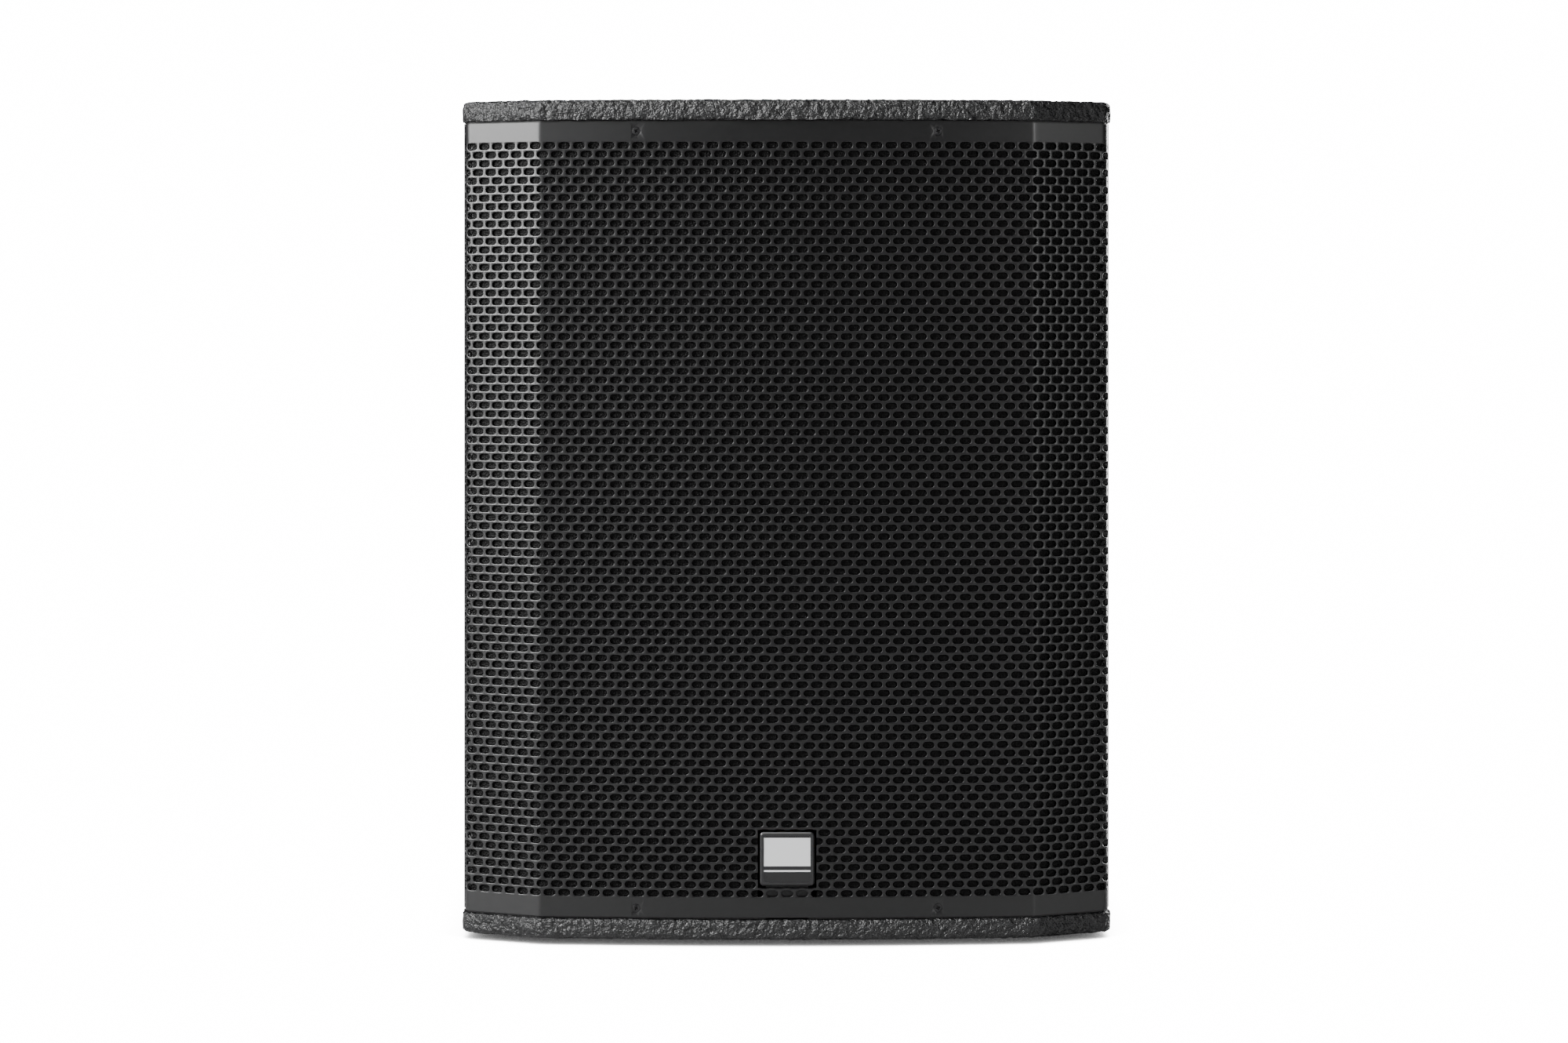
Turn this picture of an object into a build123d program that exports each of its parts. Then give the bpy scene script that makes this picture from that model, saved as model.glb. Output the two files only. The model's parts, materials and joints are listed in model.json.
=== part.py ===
from build123d import *

import os
from math import cos, pi, radians, sin, sqrt, tan

# Passive 18-inch bass-reflex loudspeaker cabinet: a painted plywood box behind a bowed
# steel grille. The front looks along -Y, +Z is up, and the origin is on the floor
# under the middle of the object. Everything is in millimetres.

# ---- Driving dimensions: the box ----
cab_width = 560.0
cab_height = 716.0  # plywood box, without the feet
cab_depth = 650.0  # from the crown of the bowed boards to the back
ply = 18.0
board_round = 4.5  # outer edge of the top and bottom boards
seam_round = 1.0  # the same boards' edge at the grille
back_corner_round = 12.0
front_arc_r = 1840.0  # bow of the boards' front edge
facet_start_x = 212.0  # where the bow turns into the flat facet
facet_angle = 27.5  # turn of the facet from the front, degrees
bend_round = 10.4
corner_round = 12.4
glue_gap = 0.1  # paint and glue between a fitted piece and its hole

# ---- Grille, foam and battens ----
grille_inset = 2.4  # the boards stand this proud of the grille
grille_sheet = 1.5
grille_seam = 1.5
grille_return = 20.0  # straight stretch along the side panel
grille_seat_gap = 0.3
foam_thickness = 8.0
batten_depth = 20.0
batten_height = 18.0
grille_screw_x = 128.5
grille_screw_r = 1.75
grille_screw_head_r = 3.4
grille_screw_length = 25.0
grille_countersink_r = 4.15
grille_screw_sunk = 0.4

# ---- Badge ----
badge_width = 46.0
badge_height = 45.5
badge_above_seam = 51.4  # badge centre above the bottom board
badge_round = 3.0
badge_thickness = 5.0
badge_rim = 3.0
badge_proud = 1.0
badge_bevel = 1.1
badge_panel_thickness = 1.0
badge_panel_sunk = 0.3
badge_gap = 2.0
bracket_width = 36.0
bracket_thickness = 1.5
bracket_screw_x = 10.0
bracket_screw_r = 1.5
bracket_screw_head_r = 2.8
bracket_screw_head = 1.6
bracket_screw_length = 12.0

# ---- Baffle, port and brace ----
baffle_setback = 74.0  # baffle face behind the crown of the boards
port_height = 80.0
port_length = 330.0
brace_to_back = 134.0  # brace's rear face ahead of the back panel's inner face
brace_rail = 52.0
brace_middle_rail = 50.0
brace_middle_z = 0.56  # height of the middle rail as a share of the inner height
brace_round = 40.0

# ---- Woofer: depth behind the baffle face and radius, as (depth, radius) ----
woofer_rim_r = 231.0
woofer_opening_r = 212.0
woofer_cutout_r = 211.0
woofer_bolt_circle_r = 224.0
woofer_bolt_count = 8
woofer_bolt_r = 3.0
woofer_bolt_head_r = 5.0
woofer_bolt_head = 6.0
bolt_hole_gap = 0.25
tee_nut_barrel_r = 4.2
tee_nut_flange_r = 9.6
tee_nut_flange = 1.5
rim_front = -12.0
rim_sheet = 8.0
rear_gasket_thickness = 2.0
basket_gap = 1.5  # between the basket's wall and the baffle's cut-out
wall_thickness = 6.5
wall_back_r = 124.0
ledge_front = 80.0
ledge_thickness = 6.0
ledge_inner_r = 88.0
motor_front = 113.0
motor_disc = 8.0
pole_setback = 1.0
former_overlap = 10.0  # how far the coil's former runs into the cone's neck
disc_bore_r = 62.0
top_plate_thickness = 10.0
magnet_thickness = 24.0
yoke_thickness = 10.0
magnet_r = 110.0
top_plate_r = 105.0
yoke_r = 107.0
pole_r = 49.4
pole_vent_r = 15.0
gap_outer_r = 52.2
former_inner_r = 50.0
former_outer_r = 50.4
coil_outer_r = 51.4
coil_height = 20.0
cone_rim_r = 190.0
cone_flange_r = 194.0
cone_neck_depth = 72.0
cone_wall = 1.8
surround_wall = 1.2
surround_glue_r = 217.0
surround_lap = 0.5  # between the surround's inner edge and the cone's front
rear_gasket_edge = 1.0
rear_gasket_width = 7.0
front_gasket_thickness = 3.8
dust_cap_r = 62.0
dust_cap_wall = 1.2
dust_cap_height = 21.0
spider_wall = 0.8
spider_r = 104.0
wave_count = 5
wave_height = 3.0
wave_start = 56.0
wave_end = 84.0
window_count = 8
window_arc = 30.0
window_front = 12.0
window_inner_r = 120.0
terminal_depth = 8.0
terminal_inner_r = 112.0
terminal_outer_r = 142.0
terminal_width = 34.0
terminal_round = 1.5
post_r = 2.0
post_inner_r = 108.0
post_outer_r = 150.0
lead_r = 0.8
lead_end_r = 82.0

# ---- Handles ----
handle_length = 176.0
handle_opening = 96.0
handle_depth = 72.0
handle_wall = 2.5
handle_flange = 19.0
handle_flange_thickness = 2.5
handle_round = 24.0
handle_flange_round = 12.0
handle_z = 400.0
handle_brace_gap = 20.0
grip_r = 11.0
grip_sunk = 22.0  # grip's axis below the side face
handle_screw_r = 2.0
handle_screw_head_r = 4.0
handle_screw_length = 18.0

# ---- Pole cup in the top board ----
pole_cup_bore_r = 17.75
pole_cup_wall = 2.0
pole_cup_depth = 85.0
pole_flange_r = 58.0
pole_flange_thickness = 3.0
pole_screw_circle_r = 46.0
pole_screw_r = 2.2
pole_screw_head_r = 4.4
pole_screw_length = 16.0
pole_hole_gap = 0.75

# ---- Input dish and sockets in the back panel ----
dish_width = 150.0
dish_height = 90.0
dish_depth = 30.0
dish_wall = 2.5
dish_flange = 15.0
dish_flange_thickness = 2.5
dish_round = 10.0
dish_z = 230.0
socket_x = 33.0
socket_flange_width = 26.0
socket_flange_height = 31.0
socket_flange_thickness = 2.5
socket_flange_round = 3.0
socket_body_r = 11.7
socket_bore_r = 10.4
socket_core_r = 5.4
socket_body_length = 24.0
socket_bore_depth = 21.0
socket_chamfer = 0.6
socket_screw_x = 9.5
socket_screw_z = 12.0
socket_screw_r = 1.4
socket_screw_head_r = 2.6
socket_screw_length = 8.0
socket_hole_gap = 0.3
tab_length = 4.0
tab_width = 3.0
tab_height = 4.0
tab_x = 6.0  # from the socket's axis
link_board_width = 96.0
link_board_height = 28.0
link_board_thickness = 1.6
link_board_round = 2.0

# ---- Feet, wadding and wiring ----
foot_height = 5.0
foot_r = 20.0
foot_round = 1.0
foot_from_side = 55.0
foot_from_back = 55.0
foot_from_front = 80.0
foot_screw_r = 2.0
foot_screw_head_r = 4.0
foot_screw_length = 17.0
foot_screw_sunk = 1.2
wadding_thickness = 25.0
wadding_round = 6.0
wadding_clear = 12.0  # to the baffle and the handle
wadding_margin = 20.0
wire_r = 2.0
wire_x = 8.0
clip_width = 26.0
clip_length = 8.0
clip_height = 6.0
clip_round = 2.0
clip_bore_height = 3.2
screw_clearance = 0.05
screw_head_gap = 0.3  # round a countersunk head
recess_width = 0.9

# ---- Worked out from the sizes above ----
front_y = -(cab_depth + dish_flange_thickness) / 2
back_y = front_y + cab_depth
back_inner_y = back_y - ply
box_low = foot_height
box_high = box_low + cab_height
inner_low = box_low + ply
inner_high = box_high - ply
side_x = cab_width / 2
inner_x = side_x - ply
baffle_y = front_y + baffle_setback
port_top = inner_low + port_height
shelf_top = port_top + ply
woofer_z = (shelf_top + inner_high) / 2
brace_y = back_inner_y - brace_to_back - ply
handle_y = brace_y - handle_brace_gap - handle_length / 2 - handle_wall
badge_z = inner_low + badge_above_seam
badge_front_y = front_y + grille_inset - badge_proud
badge_back_y = badge_front_y + badge_thickness
batten_inset = grille_inset + grille_sheet + grille_seat_gap

below = (Align.CENTER, Align.CENTER, Align.MAX)
above = (Align.CENTER, Align.CENTER, Align.MIN)
woofer_axis = Axis((0, baffle_y, woofer_z), (0, 1, 0))


os.makedirs("parts", exist_ok=True)


def save(part, name):
    """Label one finished piece and write it."""
    part.label = name
    export_step(part, f"parts/{name}.step")


def arc_y(x, inset):
    """Y of the bowed front at x, moved inwards by inset."""
    return front_y + front_arc_r - sqrt((front_arc_r - inset) ** 2 - x**2)


def plan_corners(inset):
    """Where the bow meets the facet, and the facet meets the side, moved inwards by inset."""
    centre_y = front_y + front_arc_r
    along_x, along_y = cos(radians(facet_angle)), sin(radians(facet_angle))
    start_x = facet_start_x - inset * along_y
    start_y = arc_y(facet_start_x, 0) + inset * along_x
    half_b = start_x * along_x + (start_y - centre_y) * along_y
    rest = start_x**2 + (start_y - centre_y) ** 2 - (front_arc_r - inset) ** 2
    root = sqrt(half_b**2 - rest)
    step = min(-half_b - root, -half_b + root, key=abs)
    bend = (start_x + step * along_x, start_y + step * along_y)
    reach = (side_x - inset - start_x) / along_x
    corner = (side_x - inset, start_y + reach * along_y)
    return bend, corner


def plan_sketch(inset, back):
    """Plan outline of the cabinet, moved inwards by inset and cut off straight at y = back."""
    (bend_x, bend_y), (corner_x, corner_y) = plan_corners(inset)
    with BuildSketch() as plan:
        with BuildLine():
            ThreePointArc((-bend_x, bend_y), (0, front_y + inset), (bend_x, bend_y))
            Polyline(
                (bend_x, bend_y),
                (corner_x, corner_y),
                (corner_x, back),
                (-corner_x, back),
                (-corner_x, corner_y),
                (-bend_x, bend_y),
            )
        make_face()
        bends = plan.vertices().filter_by(lambda v: abs(v.Y - bend_y) < 0.01)
        fillet(bends, max(bend_round - inset, seam_round))
        corners = plan.vertices().filter_by(lambda v: abs(v.Y - corner_y) < 0.01)
        fillet(corners, max(corner_round - inset, seam_round))
    return plan.sketch


def plan_band(outer, inner, back):
    """Strip between two plan outlines, cut off at y = back."""
    with BuildSketch() as band:
        add(plan_sketch(outer, back_y))
        add(plan_sketch(inner, back_y + ply), mode=Mode.SUBTRACT)
        with Locations((0, (front_y + back) / 2)):
            Rectangle(cab_width * 2, back - front_y, mode=Mode.INTERSECT)
    return band.sketch


def corner_end_y(inset):
    """Y where the rounded corner has become the straight side."""
    corner_y = plan_corners(inset)[1][1]
    turn = radians(90 - facet_angle)
    return corner_y + (corner_round - inset) * tan(turn / 2)


side_front_y = corner_end_y(0) + glue_gap
return_end_y = corner_end_y(grille_inset) + grille_return


def rounded_block(plane, width, height, corner, depth):
    """Block with rounded corners that starts on a plane and runs depth along its normal."""
    with BuildPart() as block:
        with BuildSketch(plane):
            RectangleRounded(width, height, corner)
        extrude(amount=depth)
    return block.part


def countersunk_screws(places, head_r, shank_r, length):
    """Countersunk cross-head screws, one at each place, whose local +Z leaves the head."""
    recess_length = head_r * 1.1
    recess_depth = head_r * 0.4
    with BuildPart() as screws:
        with Locations(*places):
            Cylinder(shank_r, length, align=below)
            Cone(shank_r, head_r, head_r - shank_r, align=below)
        with Locations(*places):
            Box(recess_length, recess_width, recess_depth, align=below, mode=Mode.SUBTRACT)
            Box(recess_width, recess_length, recess_depth, align=below, mode=Mode.SUBTRACT)
    return screws.part


def rearward(y, z):
    """Upright plane at y that looks towards the back, centred at height z."""
    return Plane(origin=(0, y, z), x_dir=(-1, 0, 0), z_dir=(0, 1, 0))


# ---- Places of the fasteners, each with its local +Z pointing out of the head ----
def facing(x, y, z, normal):
    """Location at a point with its +Z along a normal."""
    return Plane(origin=(x, y, z), z_dir=normal).location


grille_screw_z = (inner_low + batten_height / 2, inner_high - batten_height / 2)
grille_screw_places = [
    facing(x, arc_y(x, grille_inset), z, (0, -1, 0))
    for x in (-grille_screw_x, grille_screw_x)
    for z in grille_screw_z
]
bracket_front_y = badge_back_y
bracket_screw_places = [
    facing(x, bracket_front_y, grille_screw_z[0], (0, -1, 0))
    for x in (-bracket_screw_x, bracket_screw_x)
]
handle_screw_dy = (handle_length + handle_flange) / 2
handle_screw_dz = (handle_opening + handle_flange) / 2
handle_screw_places = {
    side: [
        facing(side * (side_x + handle_flange_thickness), handle_y + dy, handle_z + dz, (side, 0, 0))
        for dy in (-handle_screw_dy, handle_screw_dy)
        for dz in (-handle_screw_dz, handle_screw_dz)
    ]
    for side in (-1, 1)
}
pole_y = (front_y + back_y) / 2
pole_screw_places = [
    facing(
        pole_screw_circle_r * cos(radians(angle)),
        pole_y + pole_screw_circle_r * sin(radians(angle)),
        box_high + pole_flange_thickness,
        (0, 0, 1),
    )
    for angle in (45, 135, 225, 315)
]
dish_face_y = back_y + dish_flange_thickness
dish_screw_dx = (dish_width + dish_flange) / 2
dish_screw_dz = (dish_height + dish_flange) / 2
dish_screw_places = [
    facing(x, dish_face_y, dish_z + dz, (0, 1, 0))
    for x in (-dish_screw_dx, 0, dish_screw_dx)
    for dz in (-dish_screw_dz, dish_screw_dz)
]
dish_floor_y = back_y - dish_depth
socket_face_y = dish_floor_y + socket_flange_thickness
socket_screw_places = [
    facing(x + turn * socket_screw_x, socket_face_y, dish_z + turn * socket_screw_z, (0, 1, 0))
    for x in (-socket_x, socket_x)
    for turn in (-1, 1)
]
foot_places = [
    (x, y)
    for x in (-side_x + foot_from_side, side_x - foot_from_side)
    for y in (front_y + foot_from_front, back_y - foot_from_back)
]
foot_screw_places = [facing(x, y, foot_screw_sunk, (0, 0, -1)) for x, y in foot_places]
bolt_angles = [360 / woofer_bolt_count * (i + 0.5) for i in range(woofer_bolt_count)]
bolt_places = [
    facing(
        woofer_bolt_circle_r * sin(radians(angle)),
        baffle_y + rim_front,
        woofer_z + woofer_bolt_circle_r * cos(radians(angle)),
        (0, -1, 0),
    )
    for angle in bolt_angles
]


# ---- Box ----
def board(name, low, outer_side):
    """Top or bottom board with a bowed front; outer_side is +1 when its outer face is up."""
    with BuildPart() as board:
        with BuildSketch(Plane.XY.offset(low)) as outline:
            add(plan_sketch(0, back_y))
            rear = outline.vertices().filter_by(lambda v: abs(v.Y - back_y) < 0.01)
            fillet(rear, back_corner_round)
        extrude(amount=ply)
        levels = board.edges().filter_by(lambda e: e.bounding_box().size.Z < 0.01).group_by(Axis.Z)
        outer_edges = levels[-1] if outer_side > 0 else levels[0]
        seam_edges = levels[0] if outer_side > 0 else levels[-1]
        fillet(outer_edges, board_round)
        fillet(seam_edges.filter_by(lambda e: e.center().Y < side_front_y), seam_round)
        if outer_side > 0:
            with Locations((0, pole_y, box_high)):
                Hole(pole_cup_bore_r + pole_cup_wall + pole_hole_gap, ply)
            with Locations(*pole_screw_places):
                Hole(pole_screw_r + screw_clearance, pole_screw_length + 1)
        else:
            with Locations(*foot_screw_places):
                Hole(foot_screw_r + screw_clearance, foot_screw_length + 1)
    save(board.part, name)


board("top_board", inner_high, 1)
board("bottom_board", box_low, -1)


def side_panel(name, side):
    """Side panel with a rebate for the grille's return and a cut-out for the handle."""
    rebate = batten_inset
    face = Plane(origin=(side * side_x, handle_y, handle_z), x_dir=(0, 1, 0), z_dir=(side, 0, 0))
    with BuildPart() as panel:
        with BuildSketch(Plane.XY.offset(inner_low)) as plan:
            with Locations((side * (side_x - ply / 2), (side_front_y + back_y) / 2)):
                Rectangle(ply, back_y - side_front_y)
            outer_rear = plan.vertices().group_by(Axis.Y)[-1].sort_by(Axis.X)
            fillet(outer_rear[-1] if side > 0 else outer_rear[0], back_corner_round)
        extrude(amount=inner_high - inner_low)
        with BuildSketch(Plane.XY.offset(inner_low)):
            length = return_end_y + grille_seam - side_front_y
            with Locations((side * (side_x - rebate / 2), side_front_y + length / 2)):
                Rectangle(rebate, length)
        extrude(amount=inner_high - inner_low, mode=Mode.SUBTRACT)
        with BuildSketch(face):
            grow = 2 * (handle_wall + glue_gap)
            corner = handle_round + handle_wall + glue_gap
            RectangleRounded(handle_length + grow, handle_opening + grow, corner)
        extrude(amount=-ply, mode=Mode.SUBTRACT)
        with Locations(*handle_screw_places[side]):
            Hole(handle_screw_r + screw_clearance, handle_screw_length)
    save(panel.part, name)


side_panel("side_left", -1)
side_panel("side_right", 1)

back_face = rearward(back_y, dish_z)
with BuildPart() as back_panel:
    with BuildSketch(rearward(back_inner_y, (inner_low + inner_high) / 2)):
        Rectangle(2 * inner_x, inner_high - inner_low)
    extrude(amount=ply)
    with BuildSketch(back_face):
        grow = 2 * (dish_wall + glue_gap)
        RectangleRounded(dish_width + grow, dish_height + grow, dish_round + dish_wall + glue_gap)
    extrude(amount=-ply, mode=Mode.SUBTRACT)
    with Locations(*dish_screw_places):
        Hole(handle_screw_r + screw_clearance, handle_screw_length)
save(back_panel.part, "back_panel")

with BuildPart() as baffle:
    with BuildSketch(rearward(baffle_y, (shelf_top + inner_high) / 2)):
        Rectangle(2 * inner_x, inner_high - shelf_top)
    extrude(amount=ply)
    with BuildSketch(rearward(baffle_y, woofer_z)):
        Circle(woofer_cutout_r)
    extrude(amount=ply, mode=Mode.SUBTRACT)
    with Locations(*bolt_places):
        Hole(tee_nut_barrel_r, ply - rim_front)
save(baffle.part, "baffle")

with BuildPart() as port_shelf:
    with BuildSketch(Plane.XY.offset(port_top)):
        with Locations((0, baffle_y + port_length / 2)):
            Rectangle(2 * inner_x, port_length)
    extrude(amount=ply)
save(port_shelf.part, "port_shelf")

with BuildPart() as port_divider:
    with BuildSketch(Plane.XY.offset(inner_low)):
        with Locations((0, baffle_y + port_length / 2)):
            Rectangle(ply, port_length)
    extrude(amount=port_height)
save(port_divider.part, "port_divider")

inner_height = inner_high - inner_low
brace_plane = Plane(origin=(0, brace_y, inner_low), x_dir=(1, 0, 0), z_dir=(0, -1, 0))
with BuildPart() as window_brace:
    with BuildSketch(brace_plane):
        with Locations((0, inner_height / 2)):
            Rectangle(2 * inner_x, inner_height)
        middle = inner_height * brace_middle_z
        lower_top = middle - brace_middle_rail / 2
        upper_low = middle + brace_middle_rail / 2
        opening_width = 2 * (inner_x - brace_rail)
        with Locations((0, (brace_rail + lower_top) / 2)):
            RectangleRounded(opening_width, lower_top - brace_rail, brace_round, mode=Mode.SUBTRACT)
        with Locations((0, (upper_low + inner_height - brace_rail) / 2)):
            upper_height = inner_height - brace_rail - upper_low
            RectangleRounded(opening_width, upper_height, brace_round, mode=Mode.SUBTRACT)
    extrude(amount=-ply)
save(window_brace.part, "window_brace")


def batten(name, low, with_bracket):
    """Batten behind one plain band of the grille, which the grille's screws bite into."""
    with BuildPart() as batten:
        with BuildSketch(Plane.XY.offset(low)):
            add(plan_band(batten_inset, batten_inset + batten_depth, side_front_y - glue_gap))
        extrude(amount=batten_height)
        with Locations(*grille_screw_places):
            CounterSinkHole(
                grille_screw_r + screw_clearance,
                grille_countersink_r,
                grille_screw_length + 1,
                counter_sink_angle=90,
            )
        if with_bracket:
            with Locations((0, bracket_front_y + bracket_thickness, low)):
                Box(
                    bracket_width + 2 * glue_gap,
                    bracket_thickness + ply,
                    batten_height,
                    align=(Align.CENTER, Align.MAX, Align.MIN),
                    mode=Mode.SUBTRACT,
                )
            with Locations(*bracket_screw_places):
                Hole(bracket_screw_r + screw_clearance, bracket_screw_length + 1)
    save(batten.part, name)


batten("batten_bottom", inner_low, True)
batten("batten_top", inner_high - batten_height, False)

# ---- Grille, foam and badge ----
grille_low = inner_low + grille_seam
grille_height = inner_high - inner_low - 2 * grille_seam
with BuildPart() as grille:
    with BuildSketch(Plane.XY.offset(grille_low)):
        add(plan_band(grille_inset, grille_inset + grille_sheet, return_end_y))
    extrude(amount=grille_height)
    with Locations((0, front_y, badge_z)):
        Box(
            badge_width + 2 * badge_gap,
            4 * batten_inset,
            badge_height + 2 * badge_gap,
            mode=Mode.SUBTRACT,
        )
    with Locations(*grille_screw_places):
        Cylinder(grille_countersink_r, 4 * batten_inset, mode=Mode.SUBTRACT)
save(grille.part, "grille")

foam_low = inner_low + batten_height + grille_seat_gap
foam_high = inner_high - batten_height - grille_seat_gap
foam_end_y = plan_corners(0)[1][1]
with BuildPart() as grille_foam:
    with BuildSketch(Plane.XY.offset(foam_low)):
        add(plan_band(batten_inset, batten_inset + foam_thickness, foam_end_y))
    extrude(amount=foam_high - foam_low)
    with Locations((0, front_y, badge_z)):
        Box(
            badge_width + 4 * badge_gap,
            4 * (batten_inset + foam_thickness),
            2 * (badge_height / 2 + 2 * badge_gap),
            mode=Mode.SUBTRACT,
        )
    with Locations((0, front_y, foam_low)):
        Box(
            bracket_width + 4 * badge_gap,
            4 * (batten_inset + foam_thickness),
            2 * (badge_z - foam_low),
            mode=Mode.SUBTRACT,
        )
save(grille_foam.part, "grille_foam")

sunk_places = [place * Location((0, 0, -grille_screw_sunk)) for place in grille_screw_places]
grille_screws = countersunk_screws(
    sunk_places, grille_screw_head_r, grille_screw_r, grille_screw_length
)
save(grille_screws, "grille_screws")

badge_plane = Plane(origin=(0, badge_front_y, badge_z), x_dir=(1, 0, 0), z_dir=(0, -1, 0))
with BuildPart() as badge_frame:
    with BuildSketch(badge_plane):
        RectangleRounded(badge_width, badge_height, badge_round)
    extrude(amount=-badge_thickness)
    chamfer(badge_frame.faces().sort_by(Axis.Y)[0].edges(), badge_bevel)
    with BuildSketch(badge_plane):
        RectangleRounded(
            badge_width - 2 * badge_rim, badge_height - 2 * badge_rim, badge_round - badge_bevel
        )
    extrude(amount=-badge_panel_thickness - badge_panel_sunk, mode=Mode.SUBTRACT)
save(badge_frame.part, "badge_frame")

with BuildPart() as badge_panel:
    with BuildSketch(badge_plane.offset(-badge_panel_sunk)):
        RectangleRounded(
            badge_width - 2 * badge_rim - 2 * glue_gap,
            badge_height - 2 * badge_rim - 2 * glue_gap,
            badge_round - badge_bevel,
        )
    extrude(amount=-badge_panel_thickness)
save(badge_panel.part, "badge_panel")

with BuildPart() as badge_bracket:
    bracket_low = inner_low + grille_seam
    bracket_high = badge_z + badge_height / 2 - badge_rim
    with Locations((0, bracket_front_y, bracket_low)):
        Box(
            bracket_width,
            bracket_thickness,
            bracket_high - bracket_low,
            align=(Align.CENTER, Align.MIN, Align.MIN),
        )
    with Locations(*bracket_screw_places):
        Hole(bracket_screw_r + screw_clearance, bracket_thickness)
save(badge_bracket.part, "badge_bracket")

with BuildPart() as badge_screws:
    with Locations(*bracket_screw_places):
        Cylinder(bracket_screw_r, bracket_screw_length, align=below)
        Cylinder(bracket_screw_head_r, bracket_screw_head, align=above)
save(badge_screws.part, "badge_screws")


# ---- Woofer ----
def section(points, angle=0):
    """Closed section through the woofer's axis, from (depth behind the baffle face, radius) pairs."""
    spoke = (sin(radians(angle)), 0, cos(radians(angle)))
    plane = Plane(
        origin=(0, baffle_y, woofer_z), x_dir=(0, 1, 0), z_dir=(spoke[2], 0, -spoke[0])
    )
    with BuildSketch(plane) as profile:
        with BuildLine():
            Polyline(*points, close=True)
        make_face()
    return profile.sketch


def ring(name, front, back, inner_r, outer_r):
    """Plain round ring on the woofer's axis."""
    with BuildPart() as ring:
        outline = [(front, inner_r), (front, outer_r), (back, outer_r), (back, inner_r)]
        revolve(section(outline), axis=woofer_axis)
    save(ring.part, name)


def cone_face(radius):
    """Depth of the cone's front face at a radius."""
    slope = (cone_neck_depth - rim_front) / (cone_rim_r - former_outer_r)
    return rim_front + (cone_rim_r - radius) * slope


def dome_point(crown, rim):
    """Point half-way out on a dome whose centre lies on the axis, from its crown and its rim."""
    height = rim[0] - crown
    dome_r = (height**2 + rim[1] ** 2) / (2 * height)
    half_out = rim[1] / 2
    return (crown + dome_r - sqrt(dome_r**2 - half_out**2), half_out)


rim_back = -rear_gasket_thickness
wall_front_r = woofer_cutout_r - basket_gap
ledge_back = ledge_front + ledge_thickness
disc_front = motor_front - motor_disc


def wall_r(depth):
    """Outer radius of the basket's wall at a depth."""
    share = (depth - rim_back) / (disc_front - rim_back)
    return wall_front_r + (wall_back_r - wall_front_r) * share


with BuildPart() as woofer_basket:
    outline = [
        (rim_front, woofer_rim_r),
        (rim_back, woofer_rim_r),
        (rim_back, wall_front_r),
        (disc_front, wall_back_r),
        (motor_front, wall_back_r),
        (motor_front, disc_bore_r),
        (disc_front, disc_bore_r),
        (disc_front, wall_back_r - wall_thickness),
        (ledge_back, wall_r(ledge_back) - wall_thickness),
        (ledge_back, ledge_inner_r),
        (ledge_front, ledge_inner_r),
        (ledge_front, wall_r(ledge_front) - wall_thickness),
        (rim_front + rim_sheet, wall_front_r - wall_thickness),
        (rim_front + rim_sheet, woofer_opening_r),
        (rim_front, woofer_opening_r),
    ]
    revolve(section(outline), axis=woofer_axis)
    window = [
        (window_front, woofer_rim_r),
        (ledge_front, woofer_rim_r),
        (ledge_front, window_inner_r),
        (window_front, window_inner_r),
    ]
    for i in range(window_count):
        start = 360 / window_count * i - window_arc / 2
        revolve(
            section(window, start), axis=woofer_axis, revolution_arc=window_arc, mode=Mode.SUBTRACT
        )
    with Locations(*bolt_places):
        Hole(woofer_bolt_r + bolt_hole_gap, ply)
save(woofer_basket.part, "woofer_basket")

rear_gasket_r = woofer_cutout_r + rear_gasket_edge
ring("rear_gasket", rim_back, 0, rear_gasket_r, rear_gasket_r + rear_gasket_width)
surround_front = rim_front - surround_wall
ring(
    "front_gasket",
    surround_front - front_gasket_thickness,
    surround_front,
    woofer_opening_r,
    surround_glue_r,
)

with BuildPart() as surround:
    roll_mid = (cone_flange_r + woofer_opening_r) / 2
    roll_r = (woofer_opening_r - cone_flange_r) / 2
    with BuildSketch(Plane(origin=(0, baffle_y, woofer_z), x_dir=(0, 1, 0), z_dir=(1, 0, 0))):
        with BuildLine():
            Polyline(
                (rim_front, cone_flange_r + surround_wall),
                (rim_front, cone_rim_r + surround_lap),
                (surround_front, cone_rim_r + surround_lap),
                (surround_front, cone_flange_r),
            )
            ThreePointArc(
                (surround_front, cone_flange_r),
                (surround_front - roll_r, roll_mid),
                (surround_front, woofer_opening_r),
            )
            Polyline(
                (surround_front, woofer_opening_r),
                (surround_front, surround_glue_r),
                (rim_front, surround_glue_r),
                (rim_front, woofer_opening_r - surround_wall),
            )
            ThreePointArc(
                (rim_front, woofer_opening_r - surround_wall),
                (surround_front - roll_r + surround_wall, roll_mid),
                (rim_front, cone_flange_r + surround_wall),
            )
        make_face()
    revolve(axis=woofer_axis)
save(surround.part, "surround")

with BuildPart() as cone:
    outline = [
        (rim_front, cone_rim_r),
        (cone_neck_depth, former_outer_r),
        (cone_neck_depth + cone_wall, former_outer_r),
        (rim_front + cone_wall, cone_rim_r + 0.6),
        (rim_front + cone_wall, cone_flange_r),
        (rim_front, cone_flange_r),
    ]
    revolve(section(outline), axis=woofer_axis)
save(cone.part, "cone")

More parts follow.
